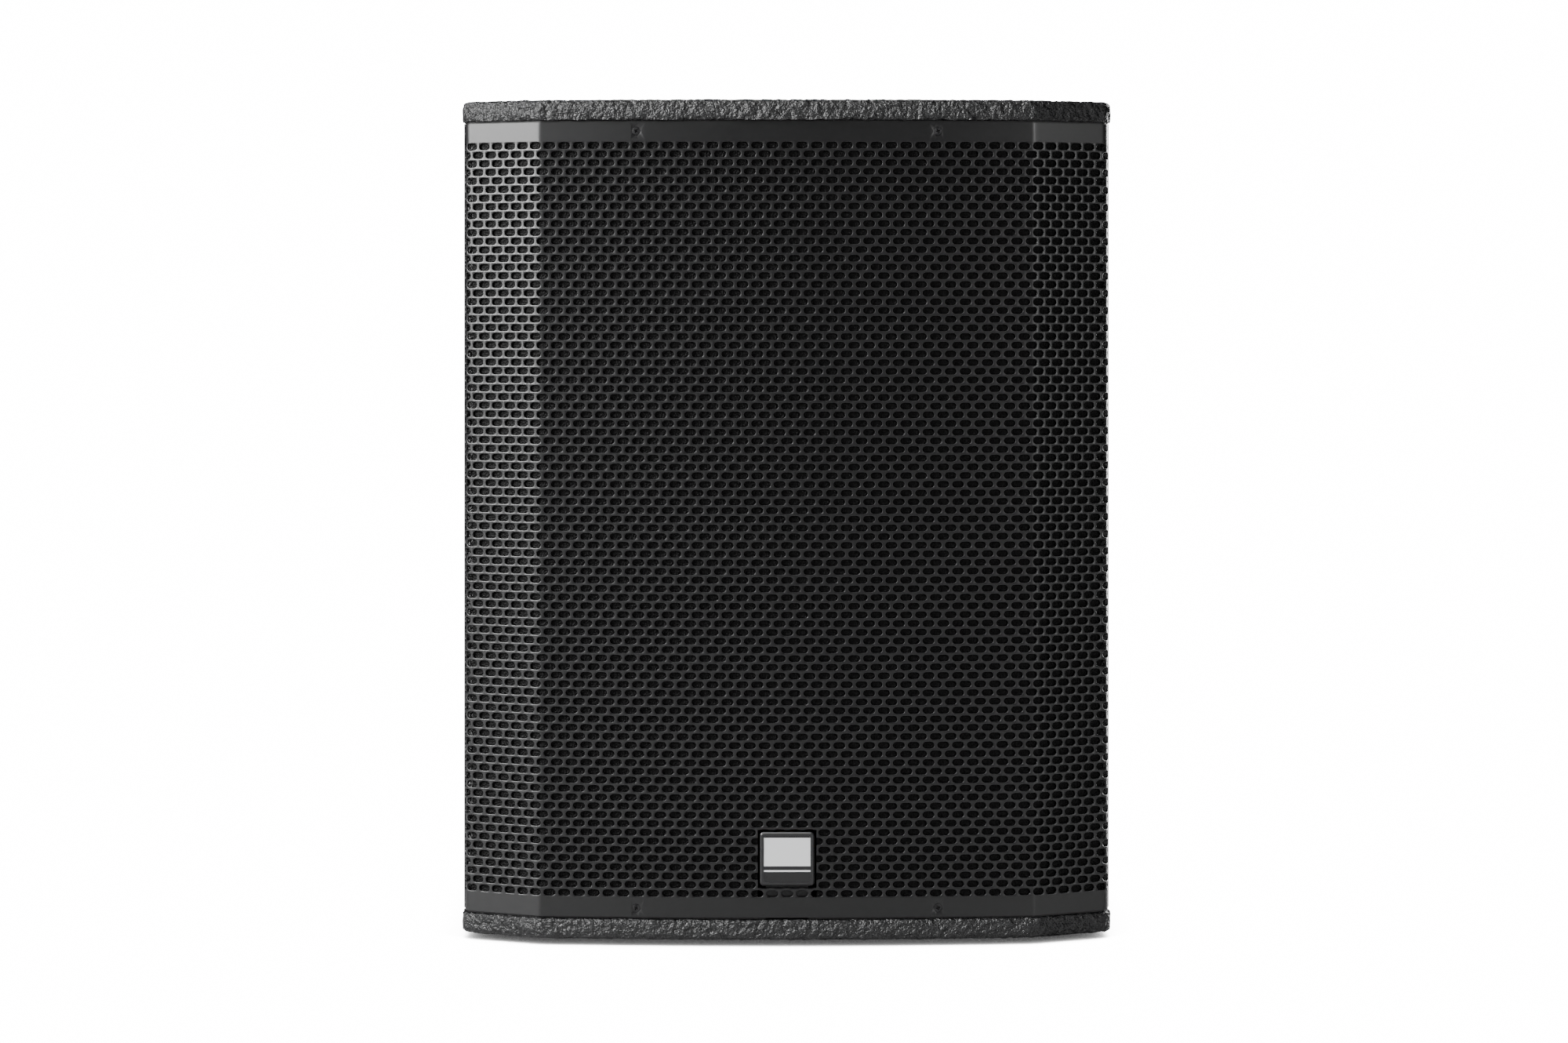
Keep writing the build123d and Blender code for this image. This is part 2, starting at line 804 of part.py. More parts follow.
with BuildPart() as dust_cap:
    inner_r = dust_cap_r - dust_cap_wall
    cap_crown = cone_face(dust_cap_r) - dust_cap_height
    rim_point = (cone_face(dust_cap_r), dust_cap_r)
    inner_rim_point = (cone_face(inner_r), inner_r)
    with BuildSketch(Plane(origin=(0, baffle_y, woofer_z), x_dir=(0, 1, 0), z_dir=(1, 0, 0))):
        with BuildLine():
            ThreePointArc(rim_point, dome_point(cap_crown, rim_point), (cap_crown, 0))
            Polyline((cap_crown, 0), (cap_crown + dust_cap_wall, 0))
            ThreePointArc(
                (cap_crown + dust_cap_wall, 0),
                dome_point(cap_crown + dust_cap_wall, inner_rim_point),
                inner_rim_point,
            )
            Polyline(inner_rim_point, rim_point)
        make_face()
    revolve(axis=woofer_axis)
save(dust_cap.part, "dust_cap")

gap_middle = motor_front + top_plate_thickness / 2
magnet_front = motor_front + top_plate_thickness
yoke_front = magnet_front + magnet_thickness
yoke_back = yoke_front + yoke_thickness
former_front = cone_face(former_outer_r) - former_overlap
coil_back = gap_middle + coil_height / 2
ring("coil_former", former_front, coil_back, former_inner_r, former_outer_r)
ring("voice_coil", coil_back - coil_height, coil_back, former_outer_r, coil_outer_r)
ring("top_plate", motor_front, magnet_front, gap_outer_r, top_plate_r)
ring("magnet", magnet_front, yoke_front, disc_bore_r, magnet_r)

with BuildPart() as yoke:
    outline = [
        (motor_front - pole_setback, pole_vent_r),
        (motor_front - pole_setback, pole_r),
        (yoke_front, pole_r),
        (yoke_front, yoke_r),
        (yoke_back, yoke_r),
        (yoke_back, pole_vent_r),
    ]
    revolve(section(outline), axis=woofer_axis)
save(yoke.part, "yoke")

with BuildPart() as spider:
    middle = ledge_front - spider_wall
    crests = [
        (
            middle + (wave_height if i % 2 else -wave_height),
            wave_start + (wave_end - wave_start) * i / (2 * wave_count),
        )
        for i in range(1, 2 * wave_count)
    ]
    front_line = [(middle, former_outer_r), (middle, wave_start), *crests]
    front_line += [(middle, wave_end), (middle, spider_r)]
    back_line = [(depth + spider_wall, radius) for depth, radius in reversed(front_line)]
    revolve(section(front_line + back_line), axis=woofer_axis)
save(spider.part, "spider")

terminal_y = baffle_y + ledge_front - terminal_depth / 2
post_places = [facing(x, terminal_y, woofer_z - post_outer_r, (0, 0, -1)) for x in (-wire_x, wire_x)]
with BuildPart() as terminal_block:
    with Locations((0, terminal_y, woofer_z - terminal_outer_r)):
        Box(terminal_width, terminal_depth, terminal_outer_r - terminal_inner_r, align=above)
    fillet(terminal_block.edges().filter_by(Axis.Z), terminal_round)
    with Locations(*post_places):
        Hole(post_r, post_outer_r)
save(terminal_block.part, "terminal_block")

with BuildPart() as terminal_posts:
    with Locations(*post_places):
        Cylinder(post_r, post_outer_r - post_inner_r, align=below)
save(terminal_posts.part, "terminal_posts")


def tube(points, radius, keep=0.45):
    """Round tube along straight runs joined by tangent arcs; also returns its radii and length."""
    path_points = [Vector(*point) for point in points]
    radii = []
    for before, here, after in zip(path_points, path_points[1:], path_points[2:]):
        first, second = here - before, after - here
        half_turn = radians(first.get_angle(second)) / 2
        radii.append(keep * min(first.length, second.length) / tan(half_turn))
    with BuildPart() as tube:
        with BuildLine():
            path = FilletPolyline(*path_points, radius=radii)
        with BuildSketch(Plane(origin=path @ 0, z_dir=path % 0)):
            Circle(radius)
        sweep(path=path)
    return tube.part, radii, path.length


lead_points = [
    (terminal_y, post_inner_r),
    (terminal_y, post_inner_r - 9),
    (terminal_y - 6.0, post_inner_r - 18),
    (baffle_y + cone_face(lead_end_r) + cone_wall + 1.5 * lead_r, lead_end_r),
]
tinsel_leads = []
for x in (-wire_x, wire_x):
    lead, lead_radii, lead_length = tube([(x, y, woofer_z - r) for y, r in lead_points], lead_r)
    tinsel_leads.append(lead)
save(Compound(children=tinsel_leads), "tinsel_leads")

bolt_length = -rim_front + ply + 4
with BuildPart() as woofer_bolts:
    with Locations(*bolt_places):
        Cylinder(woofer_bolt_r, bolt_length, align=below)
        Cylinder(woofer_bolt_head_r, woofer_bolt_head, align=above)
    with Locations(*[place * Location((0, 0, woofer_bolt_head)) for place in bolt_places]):
        Cylinder(woofer_bolt_r * 0.8, woofer_bolt_head / 2, align=below, mode=Mode.SUBTRACT)
save(woofer_bolts.part, "woofer_bolts")

nut_places = [place * Location((0, 0, rim_front - ply)) for place in bolt_places]
with BuildPart() as tee_nuts:
    with Locations(*nut_places):
        Cylinder(tee_nut_flange_r, tee_nut_flange, align=below)
        Cylinder(tee_nut_barrel_r - screw_clearance, ply / 2, align=above)
        Cylinder(woofer_bolt_r + screw_clearance, ply * 2, mode=Mode.SUBTRACT)
save(tee_nuts.part, "tee_nuts")


# ---- Handles ----
def handle(side, word):
    """Recessed handle: a dished cup in the side panel and a grip across its mouth."""
    face = Plane(origin=(side * side_x, handle_y, handle_z), x_dir=(0, 1, 0), z_dir=(side, 0, 0))
    with BuildPart() as cup:
        with BuildSketch(face):
            RectangleRounded(
                handle_length + 2 * handle_flange,
                handle_opening + 2 * handle_flange,
                handle_flange_round,
            )
        extrude(amount=handle_flange_thickness)
        outer_face = cup.faces().sort_by(Axis.X)[-1 if side > 0 else 0]
        fillet(outer_face.edges(), handle_flange_thickness * 0.6)
        with BuildSketch(face):
            RectangleRounded(
                handle_length + 2 * handle_wall,
                handle_opening + 2 * handle_wall,
                handle_round + handle_wall,
            )
        extrude(amount=-handle_depth - handle_wall)
        bottom_face = cup.faces().sort_by(Axis.X)[0 if side > 0 else -1]
        fillet(bottom_face.edges(), handle_round / 2 + handle_wall)
        hollow = rounded_block(
            face.offset(handle_flange_thickness),
            handle_length,
            handle_opening,
            handle_round,
            -handle_depth - handle_flange_thickness,
        )
        floor = hollow.faces().sort_by(Axis.X)[0 if side > 0 else -1]
        add(hollow.fillet(handle_round / 2, floor.edges()), mode=Mode.SUBTRACT)
        with Locations(*handle_screw_places[side]):
            CounterSinkHole(
                handle_screw_r + screw_clearance,
                handle_screw_head_r + screw_head_gap,
                handle_flange_thickness * 2,
                counter_sink_angle=90,
            )
    save(cup.part, f"handle_cup_{word}")
    with BuildPart() as grip:
        with BuildSketch(
            Plane(
                origin=(side * (side_x - grip_sunk), handle_y - handle_length / 2, handle_z),
                z_dir=(0, 1, 0),
            )
        ):
            Circle(grip_r)
        extrude(amount=handle_length)
    save(grip.part, f"handle_grip_{word}")


handle(-1, "left")
handle(1, "right")
save(
    countersunk_screws(
        handle_screw_places[-1] + handle_screw_places[1],
        handle_screw_head_r,
        handle_screw_r,
        handle_screw_length,
    ),
    "handle_screws",
)

# ---- Pole cup ----
with BuildPart() as pole_cup:
    with BuildSketch(Plane.XY.offset(box_high)):
        with Locations((0, pole_y)):
            Circle(pole_flange_r)
    extrude(amount=pole_flange_thickness)
    fillet(pole_cup.edges().group_by(Axis.Z)[-1], pole_flange_thickness * 0.6)
    with BuildSketch(Plane.XY.offset(box_high)):
        with Locations((0, pole_y)):
            Circle(pole_cup_bore_r + pole_cup_wall)
    extrude(amount=-pole_cup_depth - pole_cup_wall)
    with BuildSketch(Plane.XY.offset(box_high + pole_flange_thickness)):
        with Locations((0, pole_y)):
            Circle(pole_cup_bore_r)
    extrude(amount=-pole_flange_thickness - pole_cup_depth, mode=Mode.SUBTRACT)
    with Locations(*pole_screw_places):
        CounterSinkHole(
            pole_screw_r + screw_clearance,
            pole_screw_head_r + screw_head_gap,
            pole_flange_thickness * 2,
            counter_sink_angle=90,
        )
save(pole_cup.part, "pole_cup")
save(
    countersunk_screws(pole_screw_places, pole_screw_head_r, pole_screw_r, pole_screw_length),
    "pole_screws",
)

# ---- Input dish, sockets and link board ----
with BuildPart() as input_dish:
    with BuildSketch(back_face):
        RectangleRounded(dish_width + 2 * dish_flange, dish_height + 2 * dish_flange, dish_round)
    extrude(amount=dish_flange_thickness)
    fillet(input_dish.faces().sort_by(Axis.Y)[-1].edges(), dish_flange_thickness * 0.6)
    with BuildSketch(back_face):
        RectangleRounded(
            dish_width + 2 * dish_wall, dish_height + 2 * dish_wall, dish_round + dish_wall
        )
    extrude(amount=-dish_depth - dish_wall)
    with BuildSketch(back_face.offset(dish_flange_thickness)):
        RectangleRounded(dish_width, dish_height, dish_round)
    extrude(amount=-dish_depth - dish_flange_thickness, mode=Mode.SUBTRACT)
    with Locations(*[facing(x, dish_floor_y, dish_z, (0, 1, 0)) for x in (-socket_x, socket_x)]):
        Hole(socket_body_r + socket_hole_gap, dish_wall)
    with Locations(*dish_screw_places):
        CounterSinkHole(
            handle_screw_r + screw_clearance,
            handle_screw_head_r + screw_head_gap,
            dish_flange_thickness * 2,
            counter_sink_angle=90,
        )
    with Locations(*socket_screw_places):
        Hole(socket_screw_r + screw_clearance, socket_screw_length)
save(input_dish.part, "input_dish")
save(
    countersunk_screws(
        dish_screw_places, handle_screw_head_r, handle_screw_r, handle_screw_length
    ),
    "dish_screws",
)


def socket(name, x):
    """Twist-lock loudspeaker socket's barrel, with a flange and a closed bore."""
    front = Plane(origin=(x, dish_floor_y, dish_z), x_dir=(-1, 0, 0), z_dir=(0, 1, 0))
    with BuildPart() as socket:
        with BuildSketch(front):
            RectangleRounded(socket_flange_width, socket_flange_height, socket_flange_round)
        extrude(amount=socket_flange_thickness)
        chamfer(socket.faces().sort_by(Axis.Y)[-1].edges(), socket_chamfer)
        with BuildSketch(front):
            Circle(socket_body_r)
        extrude(amount=-socket_body_length)
        with BuildSketch(front.offset(socket_flange_thickness)):
            Circle(socket_bore_r)
        extrude(amount=-socket_bore_depth, mode=Mode.SUBTRACT)
        with Locations(*socket_screw_places):
            CounterSinkHole(
                socket_screw_r + screw_clearance,
                socket_screw_head_r + screw_head_gap,
                socket_screw_length,
                counter_sink_angle=90,
            )
    save(socket.part, name)


socket("socket_left", -socket_x)
socket("socket_right", socket_x)
with BuildPart() as socket_cores:
    floor_y = socket_face_y - socket_bore_depth
    with Locations(*[facing(x, floor_y, dish_z, (0, 1, 0)) for x in (-socket_x, socket_x)]):
        Cylinder(socket_core_r, socket_bore_depth, align=above)
    chamfer(socket_cores.edges().group_by(Axis.Y)[-1], socket_chamfer)
save(socket_cores.part, "socket_cores")
save(
    countersunk_screws(
        socket_screw_places, socket_screw_head_r, socket_screw_r, socket_screw_length
    ),
    "socket_screws",
)

socket_back_y = dish_floor_y - socket_body_length
tab_places = [
    (x + dx, socket_back_y, dish_z) for x in (-socket_x, socket_x) for dx in (-tab_x, tab_x)
]
with BuildPart() as socket_tabs:
    with Locations(*tab_places):
        Box(tab_width, tab_length, tab_height, align=(Align.CENTER, Align.MAX, Align.CENTER))
save(socket_tabs.part, "socket_tabs")

link_board_y = socket_back_y - tab_length
with BuildPart() as link_board:
    with BuildSketch(rearward(link_board_y - link_board_thickness, dish_z)):
        RectangleRounded(link_board_width, link_board_height, link_board_round)
    extrude(amount=link_board_thickness)
save(link_board.part, "link_board")

# ---- Feet ----
with BuildPart() as feet:
    with Locations(*[(x, y, 0) for x, y in foot_places]):
        Cylinder(foot_r, foot_height, align=above)
    fillet(feet.edges().group_by(Axis.Z)[0], foot_round)
    with Locations(*foot_screw_places):
        CounterSinkHole(
            foot_screw_r + screw_clearance,
            foot_screw_head_r + screw_head_gap,
            foot_height,
            counter_sink_angle=90,
        )
    with Locations(*[(x, y, foot_screw_sunk) for x, y in foot_places]):
        Cylinder(foot_screw_head_r + screw_head_gap, foot_screw_sunk, align=below, mode=Mode.SUBTRACT)
save(feet.part, "feet")
save(
    countersunk_screws(
        foot_screw_places, foot_screw_head_r, foot_screw_r, foot_screw_length
    ),
    "foot_screws",
)


# ---- Wadding ----
def wadding(name, centre, size):
    """Soft block of polyester wadding stapled to a panel."""
    with BuildPart() as pad:
        with Locations(centre):
            Box(*size)
        fillet(pad.edges(), wadding_round)
    save(pad.part, name)


side_wadding_front = baffle_y + ply + wadding_clear
side_wadding_back = handle_y - handle_length / 2 - handle_wall - wadding_clear
side_wadding_low = shelf_top + wadding_margin
side_wadding_high = inner_high - wadding_margin
for word, side in (("left", -1), ("right", 1)):
    wadding(
        f"wadding_{word}",
        (
            side * (inner_x - wadding_thickness / 2),
            (side_wadding_front + side_wadding_back) / 2,
            (side_wadding_low + side_wadding_high) / 2,
        ),
        (
            wadding_thickness,
            side_wadding_back - side_wadding_front,
            side_wadding_high - side_wadding_low,
        ),
    )
back_wadding_low = dish_z + dish_height / 2 + dish_flange + wadding_margin
wadding(
    "wadding_back",
    (0, back_inner_y - wadding_thickness / 2, (back_wadding_low + side_wadding_high) / 2),
    (2 * (inner_x - wadding_margin), wadding_thickness, side_wadding_high - back_wadding_low),
)

# ---- Internal wiring: from the link board, through the brace, along the shelf, up to the woofer ----
clip_places = (38.0, -96.0)  # middles of two stretches where the wires run straight along the shelf
clip_z = shelf_top + clip_bore_height
wire_start_y = link_board_y - link_board_thickness
wire_route = [
    (0.0, wire_start_y, dish_z),
    (0.0, 234.0, dish_z),
    (1.0, 198.0, 219.0),
    (2.0, 166.0, 198.0),
    (2.5, 138.0, 169.0),
    (1.5, 112.0, 141.0),
    (0.0, 86.0, 127.0),
    (0.0, 62.0, clip_z),
    (0.0, 14.0, clip_z),
    (-1.5, -34.0, clip_z + 1.0),
    (0.0, -76.0, clip_z),
    (0.0, -116.0, clip_z),
    (0.5, -146.0, 133.0),
    (0.5, -166.0, 158.0),
    (0.0, -174.0, 192.0),
    (0.0, terminal_y, 227.0),
    (0.0, terminal_y, woofer_z - post_outer_r),
]
wire_lengths = {}
for name, side in (("wire_black", -1), ("wire_red", 1)):
    route = [(side * (wire_x + x), y, z) for x, y, z in wire_route]
    wire, wire_radii, wire_lengths[name] = tube(route, wire_r)
    save(wire, name)
    section_volume = pi * wire_r**2 * wire_lengths[name]
    print(name, "length", round(wire_lengths[name]), "radii", [round(r) for r in wire_radii])
    print(name, "volume", round(wire.volume), "section times length", round(section_volume))

with BuildPart() as wire_clips:
    with Locations(*[(0, y, shelf_top) for y in clip_places]):
        Box(clip_width, clip_length, clip_height, align=above)
    fillet(wire_clips.edges().filter_by(Axis.Y).group_by(Axis.Z)[-1], clip_round)
    with Locations(*[facing(x, y, clip_z, (0, 1, 0)) for x in (-wire_x, wire_x) for y in clip_places]):
        Cylinder(wire_r + screw_clearance, clip_length, mode=Mode.SUBTRACT)
save(wire_clips.part, "wire_clips")
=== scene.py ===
import json
import math
from contextlib import contextmanager

import bmesh
import bpy
from mathutils import Matrix, Vector

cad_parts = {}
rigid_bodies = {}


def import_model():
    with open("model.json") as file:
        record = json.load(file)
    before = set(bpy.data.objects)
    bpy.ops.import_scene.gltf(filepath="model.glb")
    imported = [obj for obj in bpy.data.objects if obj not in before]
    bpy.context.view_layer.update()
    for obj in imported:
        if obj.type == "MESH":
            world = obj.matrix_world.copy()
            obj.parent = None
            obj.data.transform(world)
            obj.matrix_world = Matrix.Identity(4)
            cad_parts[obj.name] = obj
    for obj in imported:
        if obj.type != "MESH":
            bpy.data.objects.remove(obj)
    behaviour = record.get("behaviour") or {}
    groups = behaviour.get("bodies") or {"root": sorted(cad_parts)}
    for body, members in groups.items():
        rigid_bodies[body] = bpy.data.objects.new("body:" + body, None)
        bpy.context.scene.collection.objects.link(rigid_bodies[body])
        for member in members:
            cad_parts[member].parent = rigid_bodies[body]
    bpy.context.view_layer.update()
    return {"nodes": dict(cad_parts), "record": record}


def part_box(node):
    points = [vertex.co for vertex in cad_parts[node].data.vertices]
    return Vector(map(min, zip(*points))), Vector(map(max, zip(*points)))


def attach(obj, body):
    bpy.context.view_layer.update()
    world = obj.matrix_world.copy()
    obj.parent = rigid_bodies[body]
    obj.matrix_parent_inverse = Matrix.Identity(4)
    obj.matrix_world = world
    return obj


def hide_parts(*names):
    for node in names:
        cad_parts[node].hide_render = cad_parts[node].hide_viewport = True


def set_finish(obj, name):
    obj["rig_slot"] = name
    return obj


# %% [markdown]
# # A loudspeaker cabinet for the stage, in cells
# The real thing is a plywood box in rough black paint, with a bent steel grille across its
# front. The CAD model gives every part its size and place. This script keeps those parts, gives
# each one the finish of its real material, and models again the few whose looks need more than
# CAD shows: the punched grille, the foam behind it, the painted boards, the screws and the pads.

# %% Load the frame
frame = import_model()
nodes = frame["nodes"]
mm = 0.001

# %% [markdown]
# ## Camera
# The camera is far away and has a long lens, so that the box's sides stay parallel. It stands
# level, so the uprights stay upright, and the lens shift moves the
# cabinet to its place in the frame, as the rising front of a view camera does.

# %% Camera
camera_place = (-23.5 * mm, -3869 * mm, 537 * mm)
camera_turn = -0.38  # degrees, towards the cabinet's middle

bpy.ops.object.camera_add(location=camera_place, rotation=(math.pi / 2, 0, math.radians(camera_turn)))
camera = bpy.context.object
camera.name = "studio_camera"
camera.data.lens = 95.65
camera.data.shift_x = -0.002
camera.data.shift_y = -0.1315
camera.data.clip_end = 100
bpy.context.scene.camera = camera
print("camera at", camera_place)

# %% [markdown]
# ## Tools used all the way through
# An operator acts on whatever is selected, so these few helpers make each selection plain: one
# takes pieces in hand, one opens edit mode, one picks the parts of a mesh by their place, and one
# puts a modifier on and applies it at once.

# %% Selecting and editing
def take(*pieces):
    """Select only these pieces and make the first one active."""
    bpy.ops.object.select_all(action="DESELECT")
    for piece in pieces:
        piece.select_set(True)
    bpy.context.view_layer.objects.active = pieces[0]
    return pieces[0]


@contextmanager
def editing(piece, mode="FACE"):
    """Open edit mode on one piece with nothing selected, and close it again."""
    take(piece)
    bpy.ops.object.mode_set(mode="EDIT")
    bpy.ops.mesh.select_mode(type=mode)
    bpy.ops.mesh.select_all(action="DESELECT")
    yield
    bpy.ops.object.mode_set(mode="OBJECT")


def middle(item):
    """The middle of a vertex, an edge or a face."""
    if isinstance(item, bmesh.types.BMVert):
        return item.co
    if isinstance(item, bmesh.types.BMEdge):
        return (item.verts[0].co + item.verts[1].co) / 2
    return item.calc_center_median()


def pick(kind, test):
    """In edit mode, select the verts, edges or faces that pass a test, and nothing else."""
    bpy.ops.mesh.select_all(action="DESELECT")
    mesh = bmesh.from_edit_mesh(bpy.context.edit_object.data)
    found = [item for item in getattr(mesh, kind) if test(item)]
    for item in found:
        item.select_set(True)
    mesh.select_flush_mode()
    bmesh.update_edit_mesh(bpy.context.edit_object.data, loop_triangles=False, destructive=False)
    return len(found)


def near(first, second, reach=0.01 * mm):
    """True if two lengths are the same, to a hundredth of a millimetre."""
    return abs(first - second) < reach


# %% Modifiers, copies and finishing
def modify(piece, kind, **settings):
    """Put a modifier on a piece, set it and apply it."""
    take(piece)
    modifier = piece.modifiers.new(kind.lower(), kind)
    for name, value in settings.items():
        setattr(modifier, name, value)
    bpy.ops.object.modifier_apply(modifier=modifier.name)


def repeat(piece, count, step):
    """Array of a piece, whose touching edges are merged."""
    modify(
        piece,
        "ARRAY",
        count=count,
        use_relative_offset=False,
        use_constant_offset=True,
        constant_offset_displace=step,
        use_merge_vertices=True,
        merge_threshold=0.02 * mm,
    )


def copy_of(piece, name, place=(0, 0, 0)):
    """A copy with its own mesh, moved by place."""
    take(piece)
    bpy.ops.object.duplicate()
    copy = bpy.context.object
    copy.name = name
    bpy.ops.transform.translate(value=place)
    return copy


def settle(piece):
    """Put a finished piece's place into its mesh, so its object sits at the origin."""
    take(piece)
    bpy.ops.object.transform_apply(location=True, rotation=True, scale=True)


def join(name, *pieces):
    """One piece made of several."""
    take(*pieces)
    if len(pieces) > 1:
        bpy.ops.object.join()
    joined = bpy.context.object
    joined.name = name
    settle(joined)
    return joined


def outwards(piece, merge=0.01 * mm):
    """Merge doubles and turn every face outwards."""
    with editing(piece):
        bpy.ops.mesh.select_all(action="SELECT")
        bpy.ops.mesh.remove_doubles(threshold=merge)
        bpy.ops.mesh.normals_make_consistent(inside=False)


def smooth(piece, angle=30):
    """Smooth shading, except across edges sharper than an angle."""
    take(piece)
    bpy.ops.object.shade_smooth_by_angle(angle=math.radians(angle))


# %% [markdown]
# ## Nodes and colours
# Colours are written as the sRGB hex values a paint chart gives, and one function turns them to
# the linear values that the renderer adds up. One helper adds a node with its settings and links,
# so each finish below reads as a short recipe. Patterns are scaled in real millimetres.

# %% Colour and node helpers
def colour(hex_value):
    """Linear RGBA from an sRGB hex string."""
    channels = [int(hex_value[i : i + 2], 16) / 255 for i in (0, 2, 4)]
    return [c / 12.92 if c <= 0.04045 else ((c + 0.055) / 1.055) ** 2.4 for c in channels] + [1.0]


def new_material(name, **constants):
    """A material whose Principled shader has these constants on its own sockets."""
    made = bpy.data.materials.new(name)
    made.use_nodes = True
    shader = made.node_tree.nodes["Principled BSDF"]
    for socket, value in constants.items():
        shader.inputs[socket.replace("_", " ")].default_value = value
    return made


def node(material, kind, links=None, values=None, **settings):
    """Add a node: links is {input: output socket}, values is {input: constant}."""
    tree = material.node_tree
    made = tree.nodes.new(kind)
    for name, value in settings.items():
        setattr(made, name, value)
    for name, value in (values or {}).items():
        made.inputs[name].default_value = value
    for name, source in (links or {}).items():
        tree.links.new(source, made.inputs[name])
    return made


def connect(material, source, name):
    """Link an output to one of the Principled shader's inputs."""
    shader = material.node_tree.nodes["Principled BSDF"]
    material.node_tree.links.new(source, shader.inputs[name])


def place_of(material):
    """Object coordinates: metres in the cabinet's own frame, on every piece."""
    return node(material, "ShaderNodeTexCoord").outputs["Object"]


def ramp(material, source, stops):
    """Colour ramp from (position, hex) stops."""
    made = node(material, "ShaderNodeValToRGB", {"Fac": source})
    elements = made.color_ramp.elements
    while len(elements) < len(stops):
        elements.new(0.5)
    for element, (position, hex_value) in zip(elements, stops):
        element.position = position
        element.color = colour(hex_value)
    return made.outputs["Color"]


def noise(material, feature, detail=2.0, roughness=0.5, squeeze=(1, 1, 1), seed=0.0):
    """Noise whose lumps measure about feature metres; a squeeze below 1 draws them out."""
    mapped = node(
        material,
        "ShaderNodeMapping",
        {"Vector": place_of(material)},
        {"Scale": squeeze, "Location": (seed, seed, seed)},
    )
    made = node(
        material,
        "ShaderNodeTexNoise",
        {"Vector": mapped.outputs["Vector"]},
        {"Scale": 0.5 / feature, "Detail": detail, "Roughness": roughness},
    )
    return made.outputs["Fac"]


def bumps(material, height, distance, strength=1.0, under=None):
    """Bump from a height, over another bump if there is one; sets the shader's normal."""
    links = {"Height": height}
    if under:
        links["Normal"] = under
    made = node(
        material, "ShaderNodeBump", links, {"Distance": distance, "Strength": strength}
    )
    connect(material, made.outputs["Normal"], "Normal")
    return made.outputs["Normal"]


def spread(material, source, low, high):
    """The part of a noise from 0.3 to 0.7, where nearly all of it lies, moved to low to high."""
    made = node(
        material,
        "ShaderNodeMapRange",
        {"Value": source},
        {"From Min": 0.3, "From Max": 0.7, "To Min": low, "To Max": high},
    )
    return made.outputs["Result"]


MIX_A, MIX_B, MIX_RESULT = 6, 7, 2  # the colour sockets of a Mix node
finishes = {}  # the record's slot -> material
print("helpers ready")

# %% [markdown]
# ## Studio
# The box stands on a white floor against a white background, and almost all its shape is told by
# reflections: one tall softbox on the left, a dim fill in front on each side, a narrow light from
# behind on the right and a soft one from above. The floor's colour carries a painted contact shadow:
# it is painted darker only close to what stands on it, where shade falls under a heavy box on a lit table.

# %% World, floor and lights
world = bpy.data.worlds.new("white_room")
bpy.context.scene.world = world
world.use_nodes = True
background = world.node_tree.nodes["Background"]
path_node = world.node_tree.nodes.new("ShaderNodeLightPath")
seen = world.node_tree.nodes.new("ShaderNodeMapRange")
white_to_camera = 16.0  # strength at which the background and the floor look white
white_to_cabinet = 0.055  # what lights the cabinet
seen.inputs["To Min"].default_value = white_to_cabinet
seen.inputs["To Max"].default_value = white_to_camera
world.node_tree.links.new(path_node.outputs["Is Camera Ray"], seen.inputs["Value"])
world.node_tree.links.new(seen.outputs["Result"], background.inputs["Strength"])
background.inputs["Color"].default_value = (1, 1, 1, 1)

bpy.ops.object.select_all(action="DESELECT")
bpy.ops.mesh.primitive_plane_add(size=16, location=(0, 2.0, 0))
floor = bpy.context.object
floor.name = "studio_floor"
settle(floor)
floor_paint = new_material("white_floor_paint", Roughness=0.6)
floor_light = node(floor_paint, "ShaderNodeLightPath").outputs["Is Camera Ray"]
shadow_reach = 60 * mm  # how far round the cabinet the floor darkens
near_floor = node(
    floor_paint, "ShaderNodeAmbientOcclusion", values={"Distance": shadow_reach}, samples=8
)
# painted shadow: the floor is coloured near black where the cabinet stands over it, grading to white a
# little way out
painted_shadow_stops = [(0.05, "0c0c0c"), (0.35, "5a5a5a"), (0.6, "ffffff")]
painted_floor_shadow = ramp(floor_paint, near_floor.outputs["AO"], painted_shadow_stops)
floor_glow = node(
    floor_paint, "ShaderNodeEmission", {"Color": painted_floor_shadow}, {"Strength": white_to_camera}
)
floor_mix = node(
    floor_paint,
    "ShaderNodeMixShader",
    {0: floor_light, 1: floor_paint.node_tree.nodes["Principled BSDF"].outputs[0],
     2: floor_glow.outputs[0]},
)
floor_paint.node_tree.nodes["Principled BSDF"].inputs["Base Color"].default_value = colour("b0b0b0")
floor_paint.node_tree.links.new(
    floor_mix.outputs[0], floor_paint.node_tree.nodes["Material Output"].inputs["Surface"]
)
floor.data.materials.append(floor_paint)


def softbox(name, place, aim, width, height, power):
    """Rectangular studio light at a place, turned to face aim."""
    bpy.ops.object.light_add(type="AREA", location=place)
    lamp = bpy.context.object
    lamp.name = name
    lamp.data.shape = "RECTANGLE"
    lamp.data.size = width
    lamp.data.size_y = height
    lamp.data.energy = power
    lamp.rotation_euler = (Vector(aim) - Vector(place)).to_track_quat("-Z", "Y").to_euler()
    print(name, "at", place)
    return lamp


# name, place, aim, width and height in metres, power in watts
softboxes = (
    ("key_softbox", (-1.75, -1.02, 1.42), (-0.2, -0.2, 0.47), 0.9, 1.5, 175),
    ("right_fill", (1.8, -2.1, 0.9), (0.2, -0.2, 0.35), 0.9, 1.2, 27),
    ("front_fill", (-1.35, -3.3, 1.0), (-0.1, -0.3, 0.45), 0.8, 1.0, 9),
    ("rim_light", (1.5, 1.1, 0.6), (0.25, -0.2, 0.35), 0.5, 1.2, 60),
    ("top_light", (-0.3, -0.6, 2.6), (0, -0.1, 0.6), 1.2, 0.8, 22),
)
for settings in softboxes:
    softbox(*settings)

